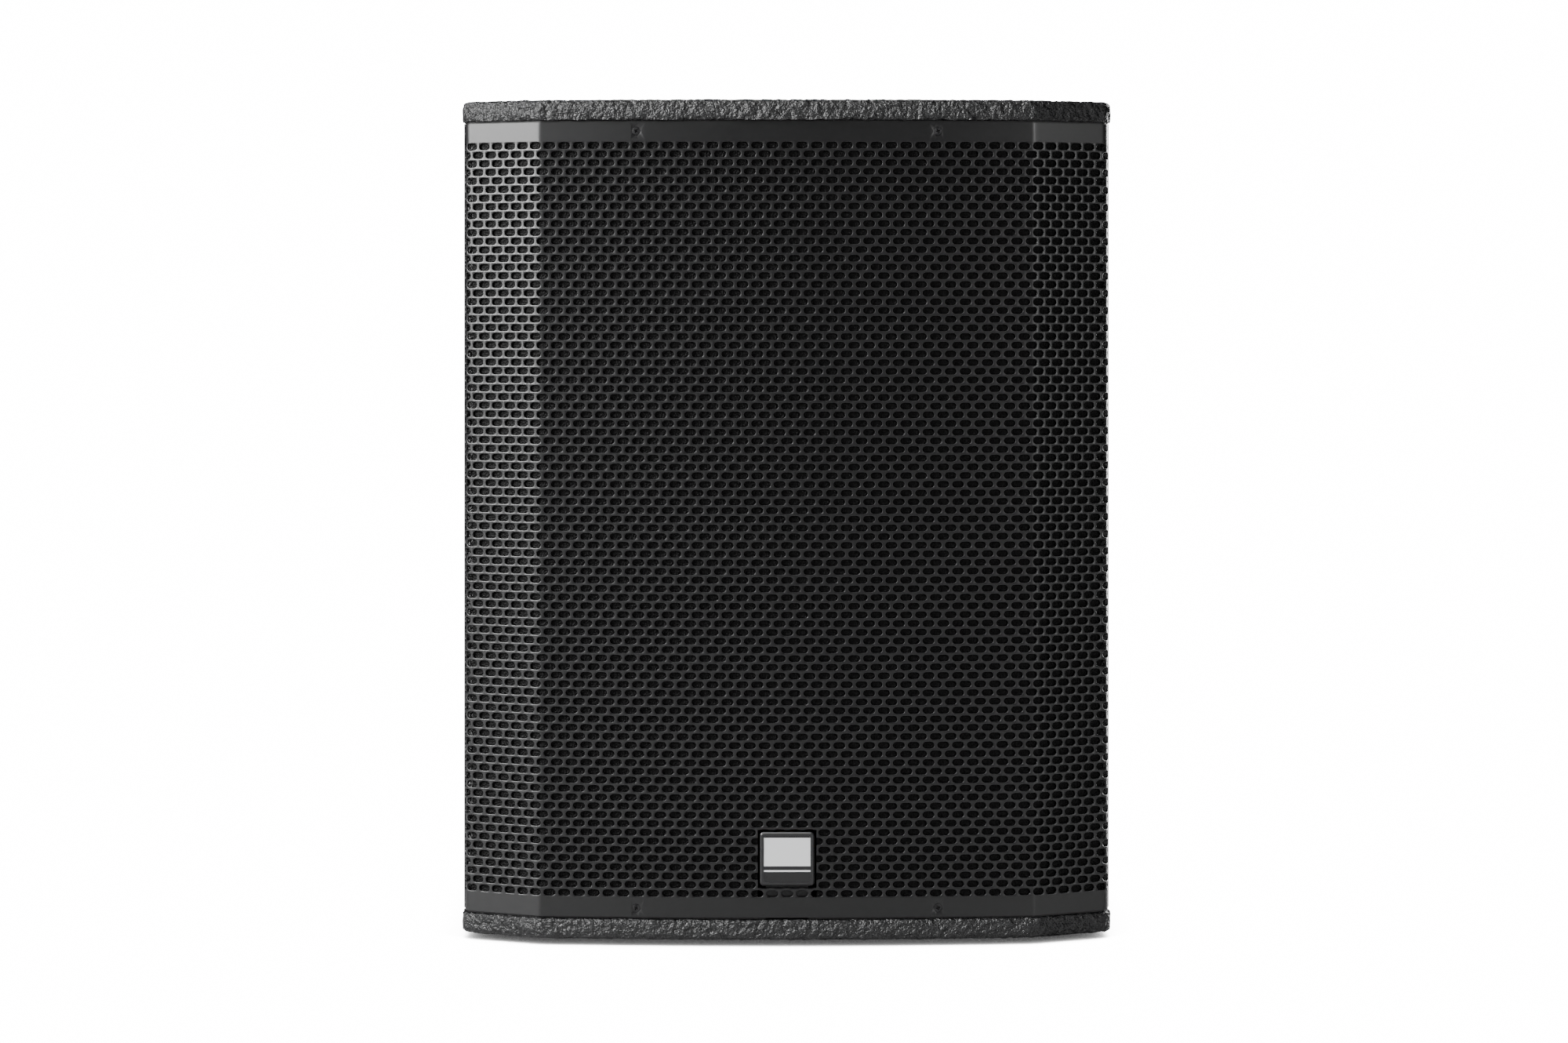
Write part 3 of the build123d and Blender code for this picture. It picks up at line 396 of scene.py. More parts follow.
# %% [markdown]
# ## Grille: the sheet's path
# The grille is one steel sheet, punched flat and then folded round the front. It is made the same
# way here: a flat punched plate first, which a Curve modifier then bends along the sheet's plan.
# The plan is drawn as by hand, from one vertex that is extruded along the straight stretches and
# spun round the centre of each bend.

# %% Sizes of the grille
grille_low, grille_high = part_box("grille")
sheet = 1.5 * mm
bow_centre_y = 1513.75 * mm  # centre of the front's bow
bow_r = bow_centre_y - grille_low.y
bow_end_x = 209.81 * mm
facet_turn = 27.5
bend_r = 8.0 * mm
corner_r = 10.0 * mm
side_x = grille_high.x
side_end_y = grille_high.y
corner_turn = 90 - facet_turn
bow_turn = math.degrees(math.asin(bow_end_x / bow_r))


def extrude_by(dx, dy):
    """Extrude the selected vertex."""
    bpy.ops.mesh.extrude_region_move(TRANSFORM_OT_translate={"value": (dx, dy, 0)})


def spin_by(degrees, steps, centre_x, centre_y):
    """Spin the selected vertex round a centre in plan, anticlockwise seen from above."""
    bpy.ops.mesh.spin(
        steps=steps, angle=math.radians(degrees), center=(centre_x, centre_y, 0), axis=(0, 0, -1)
    )


# %% Draw the path from the middle of the front to the right-hand return
bend_turn = facet_turn - bow_turn
bow_end_y = bow_centre_y - bow_r * math.cos(math.radians(bow_turn))
bend_centre = (
    bow_end_x - bend_r * math.sin(math.radians(bow_turn)),
    bow_end_y + bend_r * math.cos(math.radians(bow_turn)),
)
facet_start = (
    bend_centre[0] + bend_r * math.sin(math.radians(facet_turn)),
    bend_centre[1] - bend_r * math.cos(math.radians(facet_turn)),
)
corner_centre_x = side_x - corner_r
facet_run_x = corner_centre_x + corner_r * math.sin(math.radians(facet_turn)) - facet_start[0]
facet_run_y = facet_run_x * math.tan(math.radians(facet_turn))
corner_centre_y = facet_start[1] + facet_run_y + corner_r * math.cos(math.radians(facet_turn))

bpy.ops.object.select_all(action="DESELECT")
bpy.ops.mesh.primitive_plane_add(size=1)
half_path = bpy.context.object
half_path.name = "sheet_path"
bpy.ops.object.mode_set(mode="EDIT")
bpy.ops.mesh.select_mode(type="VERT")
bpy.ops.mesh.merge(type="CENTER")
bpy.ops.transform.translate(value=(0, grille_low.y, 0))
spin_by(bow_turn, 40, 0, bow_centre_y)
spin_by(bend_turn, 8, *bend_centre)
extrude_by(facet_run_x, facet_run_y)
spin_by(corner_turn, 14, corner_centre_x, corner_centre_y)
extrude_by(0, side_end_y - corner_centre_y)
bpy.ops.mesh.select_all(action="SELECT")
bpy.ops.object.mode_set(mode="OBJECT")
ends = [vertex.co.copy() for vertex in half_path.data.vertices]
print("path goes to", max(point.x for point in ends) / mm, max(point.y for point in ends) / mm)

# %% Mirror the path and make it a curve
modify(half_path, "MIRROR", use_axis=(True, False, False), merge_threshold=0.01 * mm)
take(half_path)
bpy.ops.object.convert(target="CURVE")
sheet_path = bpy.context.object
if sheet_path.data.splines[0].points[0].co.x > 0:  # it has to run from left to right
    bpy.ops.object.mode_set(mode="EDIT")
    bpy.ops.curve.select_all(action="SELECT")
    bpy.ops.curve.switch_direction()
    bpy.ops.object.mode_set(mode="OBJECT")
points = [point.co.xyz for point in sheet_path.data.splines[0].points]
path_length = sum((after - before).length for before, after in zip(points, points[1:]))
print("path of", len(points), "points is", path_length / mm, "mm long")

# %% [markdown]
# ## Grille: the punched plate
# One cell of the pattern holds one slot with a softly rolled rim, then its straight wall, then the
# back face. The cells repeat in rows, and every second row is moved half a cell sideways. Each
# cell's sides also carry a vertex half-way along, so that neighbouring rows share their corners
# and merge into one closed sheet of metal.

# %% Sizes of the pattern
column = 12.7 * mm  # half an inch
slot_width, slot_height = 10.4 * mm, 5.75 * mm
rim = 0.35 * mm
half_columns = 23  # slots on each side of the middle one
row_count = 87
plate_low, plate_high = grille_low.z, grille_high.z
first_row_z = plate_low + 20.3 * mm
last_row_z = plate_high - 19.7 * mm
row = (last_row_z - first_row_z) / (row_count - 1)
print("row pitch", row / mm)

# %% One cell, lying flat: the slot's rim and wall
bpy.ops.object.select_all(action="DESELECT")
bpy.ops.mesh.primitive_plane_add(size=1)
cell = bpy.context.object
cell.name = "cell"
grown_width, grown_height = slot_width + 2 * rim, slot_height + 2 * rim
bpy.ops.object.mode_set(mode="EDIT")
bpy.ops.mesh.select_mode(type="VERT")
bpy.ops.transform.resize(value=(grown_width, grown_height, 1))
nearly = 0.9999  # keeps the two corner rounds at one end of the slot from meeting
bpy.ops.mesh.bevel(affect="VERTICES", offset=grown_height / 2 * nearly, segments=3)
bpy.ops.mesh.select_all(action="SELECT")
bpy.ops.mesh.remove_doubles(threshold=0.01 * mm)
bpy.ops.mesh.delete(type="ONLY_FACE")
bpy.ops.mesh.select_mode(type="EDGE")
bpy.ops.mesh.select_all(action="SELECT")
bpy.ops.mesh.extrude_edges_move(TRANSFORM_OT_translate={"value": (0, 0, -rim)})
bpy.ops.transform.resize(value=(slot_width / grown_width, slot_height / grown_height, 1))
bpy.ops.mesh.extrude_edges_move(TRANSFORM_OT_translate={"value": (0, 0, rim - sheet)})

# %% The cell's front and back faces
for level in (0, -sheet):
    bpy.ops.mesh.select_all(action="DESELECT")
    bpy.ops.mesh.primitive_plane_add(size=1, location=(0, 0, level))
    bpy.ops.transform.resize(value=(column, row, 1))
    bpy.ops.mesh.delete(type="ONLY_FACE")
    pick(
        "edges",
        lambda edge: not edge.link_faces
        and near(middle(edge).z, level)
        and near(abs(middle(edge).y), row / 2),
    )
    bpy.ops.mesh.subdivide(number_cuts=1)
    pick(
        "edges",
        lambda edge: len(edge.link_faces) < 2
        and near(edge.verts[0].co.z, level)
        and near(edge.verts[1].co.z, level),
    )
    bpy.ops.mesh.fill(use_beauty=True)
bpy.ops.object.mode_set(mode="OBJECT")
print("one cell has", len(cell.data.polygons), "faces")

# %% Rows of cells: 47 and 48 slots by turns
offset_row = copy_of(cell, "offset_row")
repeat(cell, 2 * half_columns + 1, (column, 0, 0))
repeat(cell, (row_count + 1) // 2, (0, 2 * row, 0))
repeat(offset_row, 2 * half_columns + 2, (column, 0, 0))
repeat(offset_row, row_count // 2, (0, 2 * row, 0))
take(cell)
bpy.ops.transform.translate(value=(-half_columns * column, 0, 0))
take(offset_row)
bpy.ops.transform.translate(value=(-(half_columns + 0.5) * column, row, 0))
plate = join("plate", cell, offset_row)
outwards(plate, 0.02 * mm)
print("plate has", len(plate.data.polygons), "faces")

# %% Plain margins: fill the stagger, then pull the edges out to the sheet's ends
half_span = (half_columns + 1) * column
row_top = (row_count - 1) * row + row / 2


def open_edge(edge):
    """True for an edge on the plate's outer boundary that runs along one face."""
    return len(edge.link_faces) < 2 and near(edge.verts[0].co.z, edge.verts[1].co.z)


with editing(plate, "EDGE"):
    for side in (-1, 1):
        pick(
            "edges",
            lambda edge: open_edge(edge)
            and near(middle(edge).x, side * (half_span - column / 2))
            and near(edge.verts[0].co.x, edge.verts[1].co.x),
        )
        bpy.ops.mesh.extrude_edges_move(TRANSFORM_OT_translate={"value": (side * column / 2, 0, 0)})
    bpy.ops.mesh.select_all(action="SELECT")
    bpy.ops.mesh.remove_doubles(threshold=0.02 * mm)
    for side in (-1, 1):
        pick("edges", lambda edge: open_edge(edge) and near(middle(edge).x, side * half_span))
        bpy.ops.mesh.extrude_edges_move(
            TRANSFORM_OT_translate={"value": (side * (path_length / 2 - half_span), 0, 0)}
        )
    pick("edges", lambda edge: open_edge(edge) and near(middle(edge).y, -row / 2))
    bpy.ops.mesh.extrude_edges_move(
        TRANSFORM_OT_translate={"value": (0, plate_low - first_row_z + row / 2, 0)}
    )
    pick("edges", lambda edge: open_edge(edge) and near(middle(edge).y, row_top))
    bpy.ops.mesh.extrude_edges_move(
        TRANSFORM_OT_translate={"value": (0, plate_high - last_row_z - row / 2, 0)}
    )
    pick("edges", open_edge)
    bpy.ops.mesh.bridge_edge_loops()
outwards(plate, 0.02 * mm)
take(plate)
bpy.ops.transform.translate(value=(0, first_row_z, 0))
settle(plate)
print("closed plate with", len(plate.data.polygons), "faces")

# %% The badge's window and the four countersinks
badge_low, badge_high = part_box("badge_frame")
window_gap = 2.0 * mm
screw_low, screw_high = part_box("grille_screws")
screw_r = 3.4 * mm  # head
screw_x = screw_high.x - screw_r
screw_z = (screw_low.z + screw_r, screw_high.z - screw_r)
countersink_r = 4.15 * mm


def along_bow(x):
    """Length along the sheet from the middle of the front to x."""
    return bow_r * math.asin(x / bow_r)


bpy.ops.object.select_all(action="DESELECT")
bpy.ops.mesh.primitive_cube_add(size=1, location=(0, (badge_low.z + badge_high.z) / 2, 0))
window = bpy.context.object
bpy.ops.transform.resize(
    value=(
        badge_high.x - badge_low.x + 2 * window_gap,
        badge_high.z - badge_low.z + 2 * window_gap,
        6 * sheet,
    )
)
settle(window)
cutters = [window]
for x in (-along_bow(screw_x), along_bow(screw_x)):
    for z in screw_z:
        bpy.ops.object.select_all(action="DESELECT")
        bpy.ops.mesh.primitive_cone_add(
            vertices=28,
            radius1=countersink_r - 2 * sheet,
            radius2=countersink_r + sheet,
            depth=3 * sheet,
            location=(x, z, -sheet / 2),
        )
        cutters.append(bpy.context.object)
cutter = join("cutter", *cutters)
modify(plate, "BOOLEAN", operation="DIFFERENCE", solver="MANIFOLD", object=cutter)
bpy.data.objects.remove(cutter)
print("window and countersinks cut, faces:", len(plate.data.polygons))

# %% Three lengths of plate, each cut where the next one starts
cut_at = 8.5 * column
limits = {"left": (None, -cut_at), "middle": (-cut_at, cut_at), "right": (cut_at, None)}


def slice_at(position, keep_right=None):
    """In edit mode, cut all that is selected at x = position; keep one side, or both."""
    bpy.ops.mesh.select_all(action="SELECT")
    bpy.ops.mesh.bisect(
        plane_co=(position, 0, 0),
        plane_no=(1, 0, 0),
        use_fill=keep_right is not None,
        clear_inner=keep_right is True,
        clear_outer=keep_right is False,
    )


bend_start = along_bow(bow_end_x)
bend_end = bend_start + math.radians(bend_turn) * bend_r
corner_end = path_length / 2 - (side_end_y - corner_centre_y)
corner_start = corner_end - math.radians(corner_turn) * corner_r
folds = [bend_start, (bend_start + bend_end) / 2, bend_end]
folds += [corner_start + (corner_end - corner_start) * i / 8 for i in range(9)]
grille = {}
for word, (left_end, right_end) in limits.items():
    length = copy_of(plate, f"grille_{word}")
    with editing(length):
        if left_end is not None:
            slice_at(left_end, keep_right=True)
        if right_end is not None:
            slice_at(right_end, keep_right=False)
        for fold in folds if word != "middle" else []:
            slice_at(-fold if word == "left" else fold)
    grille[word] = length
bpy.data.objects.remove(plate)
print("folds at", [round(fold / mm, 1) for fold in folds])


# %% Stand the plates up and bend them along the path
def bend(piece):
    """Stand a flat piece up, with its front towards -Y, and bend it along the sheet's path."""
    take(piece)
    piece.rotation_euler = (math.pi / 2, 0, 0)
    piece.location = (path_length / 2, 0, 0)
    settle(piece)
    modify(piece, "CURVE", object=sheet_path, deform_axis="POS_X")


for word, piece in grille.items():
    bend(piece)
    outwards(piece, 0.002 * mm)
    modify(piece, "TRIANGULATE")
    smooth(piece, 50)
    modify(piece, "WEIGHTED_NORMAL", weight=80, keep_sharp=True)
    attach(piece, "cabinet")
    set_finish(piece, "grille_steel")
    print(piece.name, len(piece.data.polygons), "triangles")
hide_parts("grille")

# %% [markdown]
# ## Grille: powder coat
# Satin black powder coat on steel. It flows together in the oven, so it is smooth with a very
# faint orange peel about a millimetre across, and it reflects the softbox as a wide soft band.

# %% Satin powder coat
powder = new_material("satin_powder_coat_steel", IOR=1.5)
grain = noise(powder, 0.9 * mm, 2)
connect(powder, spread(powder, grain, 0.35, 0.41), "Roughness")
bumps(powder, grain, 0.02 * mm, 0.5)
dust = noise(powder, 26 * mm, 4, 0.6)
connect(powder, ramp(powder, dust, [(0.3, "070708"), (0.7, "0b0b0c")]), "Base Color")
finishes["grille_steel"] = powder

# %% [markdown]
# ## Foam behind the grille
# A sheet of open-cell foam is glued behind the slots. It is matt black, and the walls of its cells
# catch the light as tiny points; its colour is painted a little darker in the middle of each cell, as
# painted shade in the pores. The sheet is a fine grid whose front is pushed in and out by a cloud pattern,
# bent along the same path as the steel.

# %% Foam sheet
foam_low, foam_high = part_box("grille_foam")
foam_grid = 5.0 * mm
foam_front = sheet + 0.4 * mm  # behind the steel's outer face
foam_sheet = 5.4 * mm
foam_half = 280.0 * mm  # half its length, laid flat
lump_size, lump_depth = 7 * mm, 0.7 * mm
window_half = (badge_high.x - badge_low.x) / 2 + 2 * window_gap
across = round(2 * foam_half / foam_grid)
upwards = round((foam_high.z - foam_low.z) / foam_grid)
bpy.ops.object.select_all(action="DESELECT")
bpy.ops.mesh.primitive_grid_add(
    x_subdivisions=across, y_subdivisions=upwards, size=1, location=(0, (foam_low.z + foam_high.z) / 2, 0)
)
foam = bpy.context.object
foam.name = "foam_sheet"
bpy.ops.transform.resize(value=(2 * foam_half, foam_high.z - foam_low.z, 1))
settle(foam)
with editing(foam):
    pick("faces", lambda face: abs(middle(face).x) < window_half
         and middle(face).y < badge_high.z + 2 * window_gap)
    bpy.ops.mesh.delete(type="FACE")
modify(foam, "SOLIDIFY", thickness=foam_sheet, offset=-1)
take(foam)
bpy.ops.transform.translate(value=(0, 0, -foam_front))
settle(foam)
lumps = bpy.data.textures.new("foam_lumps", "CLOUDS")
lumps.noise_scale = lump_size
modify(foam, "DISPLACE", texture=lumps, strength=lump_depth, mid_level=0.9)
bend(foam)
smooth(foam, 60)
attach(foam, "cabinet")
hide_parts("grille_foam")
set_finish(foam, "acoustic_foam")
print(foam.name, len(foam.data.polygons), "faces")

# %% Open-cell foam
open_cell = new_material("open_cell_polyurethane_foam", Roughness=0.6, Specular_IOR_Level=0.12)
cells = node(
    open_cell, "ShaderNodeTexVoronoi", {"Vector": place_of(open_cell)}, {"Scale": 1 / (1.6 * mm)}
)
# painted shade: the foam's colour is darker in the middle of each cell and lighter on the cell walls
connect(
    open_cell, ramp(open_cell, cells.outputs["Distance"], [(0.1, "010101"), (0.55, "030303")]), "Base Color"
)
bumps(open_cell, cells.outputs["Distance"], 0.8 * mm, 1.0)
finishes["acoustic_foam"] = open_cell

# %% [markdown]
# ## Boards in rough paint
# The box is sprayed with a thick water-based paint full of texture, rolled or spattered so that it
# dries in hard pebbles a few millimetres across. On the top and bottom boards the pebbles break
# the outline, so they are real there: a copy of the board is remeshed evenly and pushed in and
# out. The finer grain is bump in the paint itself, which all the outer boards share.

# %% Pebbled boards
pebbles = bpy.data.textures.new("paint_pebbles", "CLOUDS")
pebbles.noise_scale = 3.8 * mm
pebbles.noise_depth = 1
board_voxel = 3.1 * mm
pebble_depth = 1.9 * mm
for name in ("top_board", "bottom_board"):
    take(nodes[name])
    bpy.ops.object.duplicate()
    board = bpy.context.object
    board.name = name.replace("board", "painted_board")
    board.parent = None
    for key in list(board.keys()):
        del board[key]
    board.data.materials.clear()
    outwards(board)
    modify(board, "REMESH", mode="VOXEL", voxel_size=board_voxel, adaptivity=0)
    modify(board, "DISPLACE", texture=pebbles, strength=pebble_depth, mid_level=0.6)
    smooth(board, 60)
    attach(board, "cabinet")
    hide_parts(name)
    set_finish(board, "painted_plywood")
    print(board.name, len(board.data.polygons), "faces")

# %% Textured black paint
rough_paint = new_material("textured_cabinet_paint", IOR=1.5)
pebble = spread(rough_paint, noise(rough_paint, 2.9 * mm, 3, 0.6), 0.0, 1.0)
pitted = noise(rough_paint, 0.9 * mm, 2, 0.6, seed=3.0)
# painted shade: the paint's colour is darker in the low parts of the pebble pattern and lighter on its
# raised tops
connect(rough_paint, ramp(rough_paint, pebble, [(0.42, "040405"), (0.6, "101011")]), "Base Color")
connect(rough_paint, spread(rough_paint, pitted, 0.3, 0.54), "Roughness")
raised = bumps(rough_paint, pebble, 2.4 * mm, 1.0)
bumps(rough_paint, pitted, 0.3 * mm, 0.6, under=raised)
finishes["painted_plywood"] = rough_paint

# %% [markdown]
# ## Badge
# A small moulded frame holds a printed aluminium plate. The print is plain: a pale field above a
# dark one, with one thin pale line across the dark.

# %% Badge frame and its printed plate
frame_plastic = new_material("moulded_abs_badge_frame", Roughness=0.32, IOR=1.5)
moulding = noise(frame_plastic, 3 * mm, 3)
connect(frame_plastic, ramp(frame_plastic, moulding, [(0.3, "19191a"), (0.7, "1f1f20")]), "Base Color")
bumps(frame_plastic, noise(frame_plastic, 0.5 * mm), 0.02 * mm, 0.4)
finishes["badge_plastic"] = frame_plastic

plate_low_corner, plate_high_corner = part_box("badge_panel")
printed = new_material("screen_printed_aluminium", Roughness=0.3)
height = node(printed, "ShaderNodeSeparateXYZ", {"Vector": place_of(printed)}).outputs["Z"]
share = node(
    printed,
    "ShaderNodeMapRange",
    {"Value": height},
    {"From Min": plate_low_corner.z, "From Max": plate_high_corner.z},
).outputs["Result"]
bands = node(printed, "ShaderNodeValToRGB", {"Fac": share})
bands.color_ramp.interpolation = "CONSTANT"
stops = [(0.0, "161617"), (0.22, "c9cacb"), (0.26, "161617"), (0.34, "c9cacb"), (0.96, "161617")]
while len(bands.color_ramp.elements) < len(stops):
    bands.color_ramp.elements.new(0.5)
for element, (position, hex_value) in zip(bands.color_ramp.elements, stops):
    element.position = position
    element.color = colour(hex_value)
connect(printed, bands.outputs["Color"], "Base Color")
bumps(printed, noise(printed, 0.4 * mm), 0.01 * mm, 0.5)
finishes["badge_print"] = printed
print("badge plate height", (plate_high_corner.z - plate_low_corner.z) / mm)

# %% [markdown]
# ## Cross-head screws
# The grille is held by four countersunk screws with a cross recess. One is modelled from a
# cylinder, with its recess cut by two tapered wings, and copied to the other three places.

# %% One screw
head_rim = 0.5 * mm  # straight edge of the head
head_cone = 1.65 * mm
shank_share = 0.515  # of the head's radius
shank_length = 21 * mm
tip_length = 1.8 * mm
tip_share = 0.2  # of the shank's radius
head_inset, head_dome = 0.25 * mm, 0.12 * mm
wing_width, wing_length, wing_depth = 0.95 * mm, 4.1 * mm, 2.6 * mm  # the cross recess
bpy.ops.object.select_all(action="DESELECT")
bpy.ops.mesh.primitive_cylinder_add(
    vertices=36, radius=screw_r, depth=head_rim, location=(0, 0, -head_rim / 2)
)
screw = bpy.context.object
with editing(screw):
    pick("faces", lambda face: face.normal.z < -0.9)
    bpy.ops.mesh.extrude_region_move(TRANSFORM_OT_translate={"value": (0, 0, -head_cone)})
    bpy.ops.transform.resize(value=(shank_share, shank_share, 1))
    bpy.ops.mesh.extrude_region_move(TRANSFORM_OT_translate={"value": (0, 0, -shank_length)})
    bpy.ops.mesh.extrude_region_move(TRANSFORM_OT_translate={"value": (0, 0, -tip_length)})
    bpy.ops.transform.resize(value=(tip_share, tip_share, 1))
    pick("faces", lambda face: face.normal.z > 0.9)
    bpy.ops.mesh.inset(thickness=head_inset, depth=head_dome)
for width, length in ((wing_width, wing_length), (wing_length, wing_width)):
    bpy.ops.object.select_all(action="DESELECT")
    bpy.ops.mesh.primitive_cube_add(size=1, location=(0, 0, -0.5 * mm))
    wing = bpy.context.object
    bpy.ops.transform.resize(value=(width, length, wing_depth))
    with editing(wing):
        pick("faces", lambda face: face.normal.z < -0.9)
        bpy.ops.transform.resize(value=(0.5, 0.5, 1))
    settle(wing)
    modify(screw, "BOOLEAN", operation="DIFFERENCE", solver="EXACT", object=wing)
    bpy.data.objects.remove(wing)
outwards(screw, 0.002 * mm)
print("one screw has", len(screw.data.polygons), "faces")

# %% Four screws in the grille's plain bands
sunk = 0.4 * mm
screw_turns = (17, -32)  # degrees, for the screws on the right and on the left
screws = []
for x in (-screw_x, screw_x):
    for z in screw_z:
        one = copy_of(screw, "screw")
        face_y = bow_centre_y - math.sqrt(bow_r**2 - x**2)
        turn = math.radians(screw_turns[0] if x > 0 else screw_turns[1])
        one.matrix_world = (
            Matrix.Translation((x, face_y + sunk, z))
            @ Matrix.Rotation(math.pi / 2, 4, "X")
            @ Matrix.Rotation(turn, 4, "Z")
        )
        settle(one)
        screws.append(one)
bpy.data.objects.remove(screw)
grille_screws = join("cross_head_screws", *screws)
smooth(grille_screws, 30)
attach(grille_screws, "cabinet")
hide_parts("grille_screws")
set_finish(grille_screws, "black_screw_steel")

# %% Blackened steel
black_steel = new_material("black_zinc_screw_steel", Metallic=0.3)
worn = noise(black_steel, 1.5 * mm, 3)
connect(black_steel, ramp(black_steel, worn, [(0.35, "0c0c0d"), (0.8, "2a2a2b")]), "Base Color")
connect(black_steel, spread(black_steel, worn, 0.3, 0.5), "Roughness")
bumps(black_steel, noise(black_steel, 0.4 * mm), 0.02 * mm, 0.5)
finishes["black_screw_steel"] = black_steel

# %% [markdown]
# ## Wadding
# Three blocks of polyester wadding are stapled inside the box to soak up the waves behind the
# cone. Each is a block with soft corners whose surface is pushed in and out by a cloud pattern.

# %% Soft wadding blocks
tufts = bpy.data.textures.new("wadding_tufts", "CLOUDS")
tufts.noise_scale = 30 * mm
tufts.noise_depth = 2
pad_allowance = 4 * mm  # room for the tufts inside the block's box
pad_round = 7 * mm
pad_voxel = 5 * mm
tuft_depth = 7 * mm
for word in ("left", "right", "back"):
    name = f"wadding_{word}"
    low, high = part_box(name)
    bpy.ops.object.select_all(action="DESELECT")
    bpy.ops.mesh.primitive_cube_add(size=1, location=(low + high) / 2)
    pad = bpy.context.object
    pad.name = f"soft_{name}"
    bpy.ops.transform.resize(value=high - low - Vector((pad_allowance,) * 3))
    settle(pad)
    with editing(pad, "EDGE"):
        bpy.ops.mesh.select_all(action="SELECT")
        bpy.ops.mesh.bevel(offset=pad_round, segments=3)
    modify(pad, "REMESH", mode="VOXEL", voxel_size=pad_voxel)
    modify(pad, "DISPLACE", texture=tufts, strength=tuft_depth, mid_level=0.75)
    smooth(pad, 80)
    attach(pad, "cabinet")
    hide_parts(name)
    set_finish(pad, "wadding_fibre")
    print(pad.name, len(pad.data.polygons), "faces")

# %% [markdown]
# ## Finishes of the parts that CAD made
# Most of the remaining parts are one of five kinds: moulded plastic, rubber, metal, wood or paper
# and cloth. Each kind is one recipe with its own grain, and every part gets its real colour and
# shine from it.

# %% Moulded plastics and rubbers, and painted castings
def moulded(name, dark, light, roughness, grain_size, relief):
    """Plastic or rubber with the fine grain of its mould."""
    made = new_material(name, IOR=1.5)
    texture = noise(made, grain_size, 2, 0.6)
    cloud = noise(made, 18 * mm, 3)
    connect(made, ramp(made, cloud, [(0.3, dark), (0.7, light)]), "Base Color")
    connect(made, spread(made, texture, roughness - 0.05, roughness + 0.08), "Roughness")
    bumps(made, texture, relief, 0.6)
    return made


# slot, name, dark, light, roughness, grain and relief in millimetres
moulded_finishes = (
    ("handle_plastic", "glass_filled_nylon_handle", "121213", "19191a", 0.5, 0.9, 0.12),
    ("dish_plastic", "grained_abs_dish", "141415", "1b1b1c", 0.48, 0.8, 0.10),
    ("socket_plastic", "glossy_nylon_socket", "0f0f12", "15161a", 0.26, 1.2, 0.02),
    ("terminal_plastic", "phenolic_terminal_block", "1a1614", "231e1b", 0.45, 0.8, 0.05),
    ("clip_plastic", "natural_nylon_clip", "cfcabd", "dedace", 0.4, 1.0, 0.03),
    ("grip_rubber", "ribbed_grip_rubber", "101010", "181818", 0.7, 0.7, 0.10),
    ("foot_rubber", "vulcanised_foot_rubber", "131313", "1c1c1c", 0.8, 0.8, 0.10),
    ("gasket_rubber", "closed_cell_gasket_rubber", "151515", "202020", 0.85, 1.0, 0.12),
    ("wire_black", "black_pvc_insulation", "111111", "191919", 0.4, 0.8, 0.02),
    ("wire_red", "red_pvc_insulation", "9a1512", "b01c17", 0.4, 0.8, 0.02),
    ("cast_frame", "powder_coated_cast_aluminium", "202021", "2a2a2b", 0.5, 1.4, 0.12),
    ("pole_cup_steel", "powder_coated_pressed_steel", "121213", "191919", 0.42, 1.0, 0.04),
    ("ferrite", "sintered_ferrite", "2a2a2c", "353537", 0.55, 0.7, 0.05),
)
for slot, name, dark, light, roughness, grain_size, relief in moulded_finishes:
    finishes[slot] = moulded(name, dark, light, roughness, grain_size * mm, relief * mm)

rib_pitch = 4 * mm  # the grip's ribs run round it, spaced along Y
ribbed = finishes["grip_rubber"]
ribs = node(
    ribbed,
    "ShaderNodeTexWave",
    {"Vector": place_of(ribbed)},
    {"Scale": 0.5 / rib_pitch * math.pi / 10, "Distortion": 0.0},
    wave_type="BANDS",
    bands_direction="Y",
)
bumps(ribbed, ribs.outputs["Fac"], 0.9 * mm, 1.0)


# %% Metals
def metal(name, dark, light, roughness, grain_size, relief, stretch):
    """Bare or plated metal with fine scratches or casting grain."""
    made = new_material(name, Metallic=1.0)
    texture = noise(made, grain_size, 3, 0.6, squeeze=stretch)
    cloud = noise(made, 14 * mm, 3)
    connect(made, ramp(made, cloud, [(0.3, dark), (0.7, light)]), "Base Color")
    connect(made, spread(made, texture, roughness - 0.06, roughness + 0.1), "Roughness")
    bumps(made, texture, relief, 0.5)
    return made


# slot, name, dark, light, roughness, grain and relief in millimetres, stretch
metal_finishes = (
    ("zinc_steel", "zinc_plated_steel", "a9abad", "c4c6c8", 0.32, 1.0, 0.02, (1, 1, 1)),
    ("motor_steel", "zinc_passivated_motor_steel", "8f8f86", "a8a89c", 0.36, 0.8, 0.03, (1, 8, 1)),
    ("brass", "tinned_brass", "b0915a", "c7ab72", 0.3, 0.8, 0.02, (1, 1, 1)),
    ("copper_wire", "enamelled_copper_wire", "8a4426", "a85a33", 0.34, 0.6, 0.05, (1, 6, 1)),
)
for slot, name, dark, light, roughness, grain_size, relief, stretch in metal_finishes:
    finishes[slot] = metal(name, dark, light, roughness, grain_size * mm, relief * mm, stretch)

# %% [markdown]
# ## Wood, paper and cloth
# The box is birch plywood. Its long grain and its figure are two noises stretched along Z. The
# front of the inside, which shows through the slots, is sprayed black.

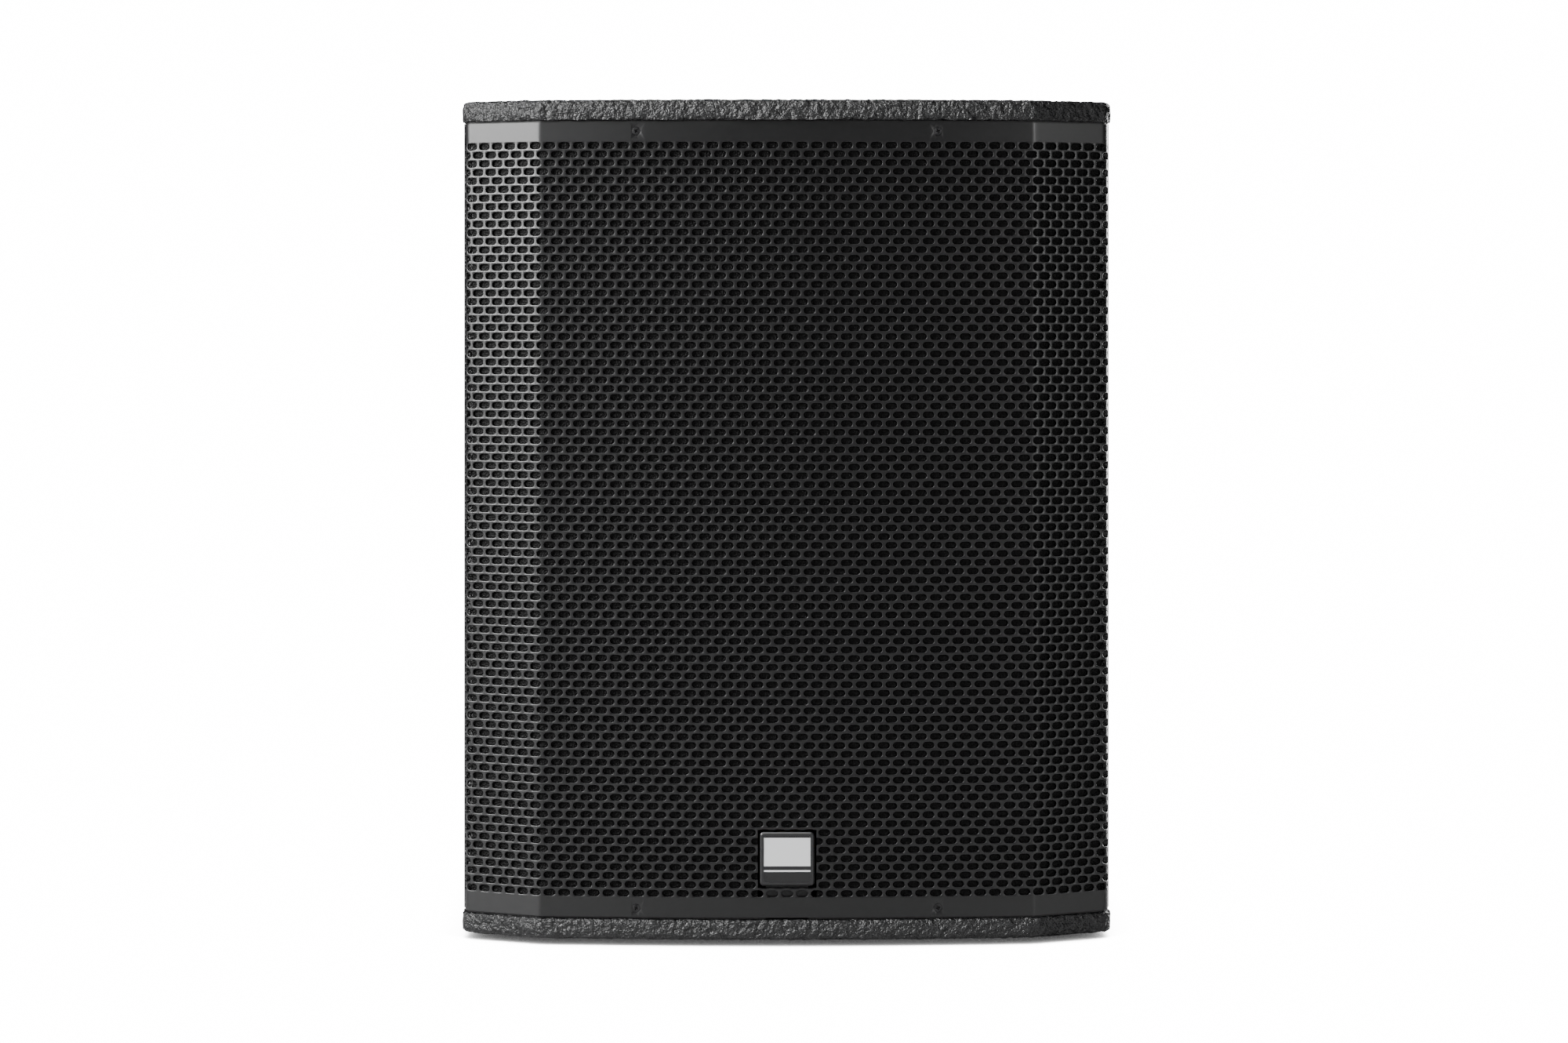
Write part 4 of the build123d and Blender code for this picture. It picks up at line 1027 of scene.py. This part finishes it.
# %% Birch plywood
birch = new_material("birch_plywood", Roughness=0.6)
long_grain = noise(birch, 2.2 * mm, 5, 0.6, squeeze=(1, 1, 0.06))
figure = noise(birch, 24 * mm, 3, 0.5, squeeze=(1, 1, 0.15))
figured = node(
    birch, "ShaderNodeMix", {"Factor": long_grain}, data_type="RGBA", blend_type="MULTIPLY"
)
birch.node_tree.links.new(
    ramp(birch, figure, [(0.3, "c9a878"), (0.7, "ddc29a")]), figured.inputs[MIX_A]
)
birch.node_tree.links.new(
    ramp(birch, long_grain, [(0.35, "d8c4a4"), (0.6, "ffffff")]), figured.inputs[MIX_B]
)
depth = node(birch, "ShaderNodeSeparateXYZ", {"Vector": place_of(birch)}).outputs["Y"]
spray_reach = 0.5 * mm  # behind the baffle's face
spray_fade = 2 * mm
sprayed_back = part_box("baffle")[0].y + spray_reach
sprayed = node(
    birch,
    "ShaderNodeMapRange",
    {"Value": depth},
    {"From Min": sprayed_back - spray_fade, "From Max": sprayed_back},
)
bare = node(birch, "ShaderNodeMix", {"Factor": sprayed.outputs["Result"]}, data_type="RGBA")
bare.inputs[MIX_A].default_value = colour("050505")
birch.node_tree.links.new(figured.outputs[MIX_RESULT], bare.inputs[MIX_B])
connect(birch, bare.outputs[MIX_RESULT], "Base Color")
bumps(birch, long_grain, 0.12 * mm, 0.5)
finishes["raw_plywood"] = birch


# %% Papers and cloths
def fibrous(name, dark, light, roughness, fibre, relief):
    """Paper, felt or cloth: short fibres that lie every way."""
    made = new_material(name, Roughness=roughness, Sheen_Weight=0.2)
    texture = noise(made, fibre, 5, 0.7)
    connect(made, ramp(made, texture, [(0.35, dark), (0.65, light)]), "Base Color")
    bumps(made, texture, relief, 0.8)
    return made


# slot, name, dark, light, roughness, fibre and relief in millimetres
fibrous_finishes = (
    ("cone_paper", "pressed_paper_cone", "1d1c1b", "2b2a28", 0.8, 1.6, 0.25),
    ("doped_cloth", "doped_cloth_surround", "171716", "232321", 0.55, 0.8, 0.15),
    ("spider_cloth", "phenolic_cotton_spider", "9c7b45", "b8965c", 0.8, 0.8, 0.15),
    ("wadding_fibre", "polyester_wadding", "c9c9c4", "f0f0ec", 0.95, 3.0, 1.5),
    ("former_fibreglass", "fibreglass_former", "b59c62", "cbb47c", 0.5, 0.7, 0.05),
)
for slot, name, dark, light, roughness, fibre, relief in fibrous_finishes:
    finishes[slot] = fibrous(name, dark, light, roughness, fibre * mm, relief * mm)

# %% Circuit board: green lacquer over woven glass
lacquer = new_material("green_solder_mask_board", Roughness=0.35, IOR=1.5)
weave = node(
    lacquer, "ShaderNodeTexChecker", {"Vector": place_of(lacquer)},
    {"Scale": 1 / (1.2 * mm), "Color1": colour("1c5a34"), "Color2": colour("216439")},
)
connect(lacquer, weave.outputs["Color"], "Base Color")
bumps(lacquer, weave.outputs["Fac"], 0.03 * mm, 0.4)
finishes["circuit_board"] = lacquer

# %% [markdown]
# ## Giving every part its finish
# The record says which slot each part belongs to, so one loop dresses the CAD parts, and the new
# pieces take the finish of the slot that they were given above.

# %% Dress every part
slot_of = {part["node"]: part["material_slot"] for part in frame["record"]["subparts"]}
unused = set(finishes) - set(slot_of.values())
missing = set(slot_of.values()) - set(finishes)
print("finishes with no part:", sorted(unused), "slots with no finish:", sorted(missing))
for name, part in nodes.items():
    part.data.materials.clear()
    part.data.materials.append(finishes[slot_of[name]])
for piece in bpy.data.objects:
    if piece.type == "MESH" and "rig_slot" in piece:
        piece.data.materials.clear()
        piece.data.materials.append(finishes[piece["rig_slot"]])
bpy.data.objects.remove(sheet_path)
